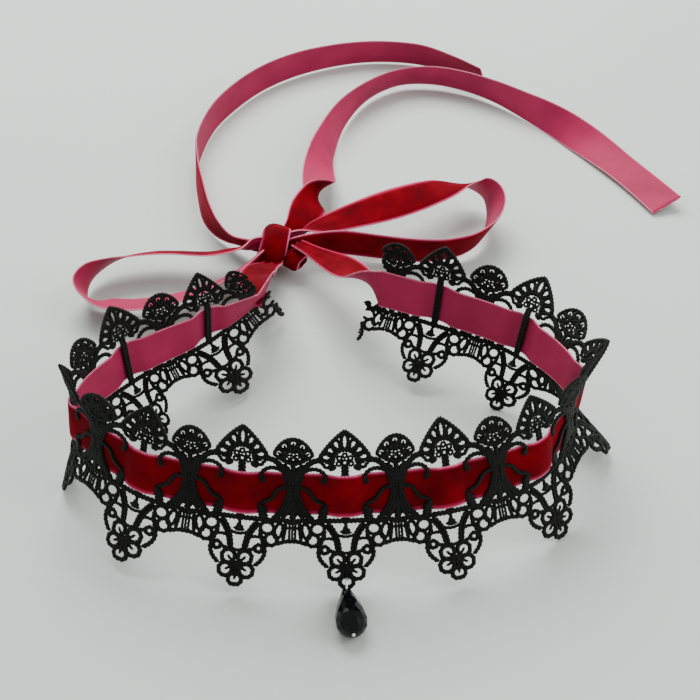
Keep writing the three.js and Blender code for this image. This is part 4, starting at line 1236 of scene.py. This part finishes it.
def build_ring(settings):
    """The jump ring, with the head of the pin that ends the bead."""
    _, end, axis, side, up = drop_directions()
    shape = Shape()
    around = full_turn(settings.segments)
    wire = full_turn(WIRE_SIDES)
    wire_around = np.linspace(0, 1, WIRE_SIDES + 1)
    x, y, z = RING_CENTRE
    r = RING_R + RING_WIRE_R * np.cos(wire)
    rings = [np.stack([x + RING_WIRE_R * np.sin(wire), y + r * math.cos(a), z + r * math.sin(a)], axis=1)
             for a in around]
    shape.loft(np.array(rings), around * RING_R, wire_around, closed=True)
    pin = []
    for turn in np.linspace(PIN_CAP, math.pi - PIN_CAP, PIN_RINGS):
        centre = end + axis * (PIN_OUT - PIN_R * math.cos(turn))
        pin.append(circle(centre, PIN_R * math.sin(turn), wire, side, up))
    shape.loft(np.array(pin), np.arange(PIN_RINGS) * PIN_R, wire_around)
    piece = finish_shape("jump_ring_wire", shape, [shared("ring_silver", silver_material)])
    dress(piece, "ring_metal", "jump_ring")


class CHOKER_OT_drop(bpy.types.Operator):
    """Builds the faceted teardrop and its jump ring"""

    bl_idname = "choker.drop"
    bl_label = "Build drop"

    def execute(self, context):
        settings = context.scene.choker_drop
        build_bead(settings)
        build_ring(settings)
        return {"FINISHED"}


# Stage

def look_at(thing, place, target):
    """Puts a camera or light at a place and turns it to a target."""
    thing.location = place
    thing.rotation_mode = "QUATERNION"
    thing.rotation_quaternion = (Vector(target) - thing.location).to_track_quat("-Z", "Y")


class CHOKER_OT_stage(bpy.types.Operator):
    """Sets the camera, the table and the light"""

    bl_idname = "choker.stage"
    bl_label = "Set stage"

    def execute(self, context):
        settings = context.scene.choker_stage
        scene = context.scene
        camera = bpy.data.objects.new("camera", bpy.data.cameras.new("camera"))
        scene.collection.objects.link(camera)
        camera.data.angle = math.radians(CAMERA_FOV)
        camera.data.clip_start = 0.01
        shift = Vector(PLAN_SHIFT * MM)
        look_at(camera, Vector(CAMERA_FROM) * MM + shift, shift)
        scene.camera = camera

        mesh = bpy.data.meshes.new("table")
        corners = [(x * FLOOR_HALF, y * FLOOR_HALF, 0) for x, y in ((-1, -1), (1, -1), (1, 1), (-1, 1))]
        mesh.from_pydata(corners, [], [(0, 1, 2, 3)])
        mesh.materials.append(floor_material(settings.floor))
        floor = bpy.data.objects.new("table", mesh)
        scene.collection.objects.link(floor)
        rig.stage(floor)

        for name, place, size, share in LIGHTS:
            light = bpy.data.objects.new(name, bpy.data.lights.new(name, "AREA"))
            light.data.energy = settings.key * share
            light.data.size = size
            look_at(light, place, (0, 0, 0))
            scene.collection.objects.link(light)

        world = bpy.data.worlds.new("room")
        scene.world = world
        world.use_nodes = True
        background = world.node_tree.nodes["Background"]
        background.inputs["Color"].default_value = ROOM_COLOUR
        background.inputs["Strength"].default_value = settings.fill
        return {"FINISHED"}


class CHOKER_PT_panel(bpy.types.Panel):
    """Lists what the choker is made of"""

    bl_label = "Choker"
    bl_idname = "CHOKER_PT_panel"
    bl_space_type = "VIEW_3D"
    bl_region_type = "UI"
    bl_category = "Choker"

    def draw(self, context):
        for owner, names, operators in (
            ("choker_lace", ("scale", "thickness", "colour"), ("choker.lace",)),
            ("choker_ribbon", ("weave", "step", "velvet", "satin", "selvedge"),
             ("choker.ribbon", "choker.bow")),
            ("choker_drop", ("bevel", "segments"), ("choker.drop",)),
            ("choker_stage", ("floor", "key", "fill"), ("choker.stage",)),
        ):
            box = self.layout.box()
            for name in names:
                box.prop(getattr(context.scene, owner), name)
            for operator in operators:
                box.operator(operator)


GROUPS = {"choker_lace": LaceSettings, "choker_ribbon": RibbonSettings, "choker_drop": DropSettings,
          "choker_stage": StageSettings}
CLASSES = (CHOKER_OT_lace, CHOKER_OT_ribbon, CHOKER_OT_bow, CHOKER_OT_drop, CHOKER_OT_stage, CHOKER_PT_panel)


def register():
    for name, group in GROUPS.items():
        bpy.utils.register_class(group)
        setattr(bpy.types.Scene, name, PointerProperty(type=group))
    for cls in CLASSES:
        bpy.utils.register_class(cls)


def unregister():
    for cls in reversed(CLASSES):
        bpy.utils.unregister_class(cls)
    for name, group in GROUPS.items():
        delattr(bpy.types.Scene, name)
        bpy.utils.unregister_class(group)


def main():
    register()
    bpy.ops.choker.stage()
    bpy.ops.choker.ribbon()
    bpy.ops.choker.bow()
    bpy.ops.choker.lace()
    bpy.ops.choker.drop()
    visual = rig.bounds()
    sizes = {"cad": [list(c) for c in CAD_BOX], "visual": [list(c) for c in visual]}
    with open("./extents.json", "w") as f:
        json.dump(sizes, f)


if __name__ == "__main__":
    main()
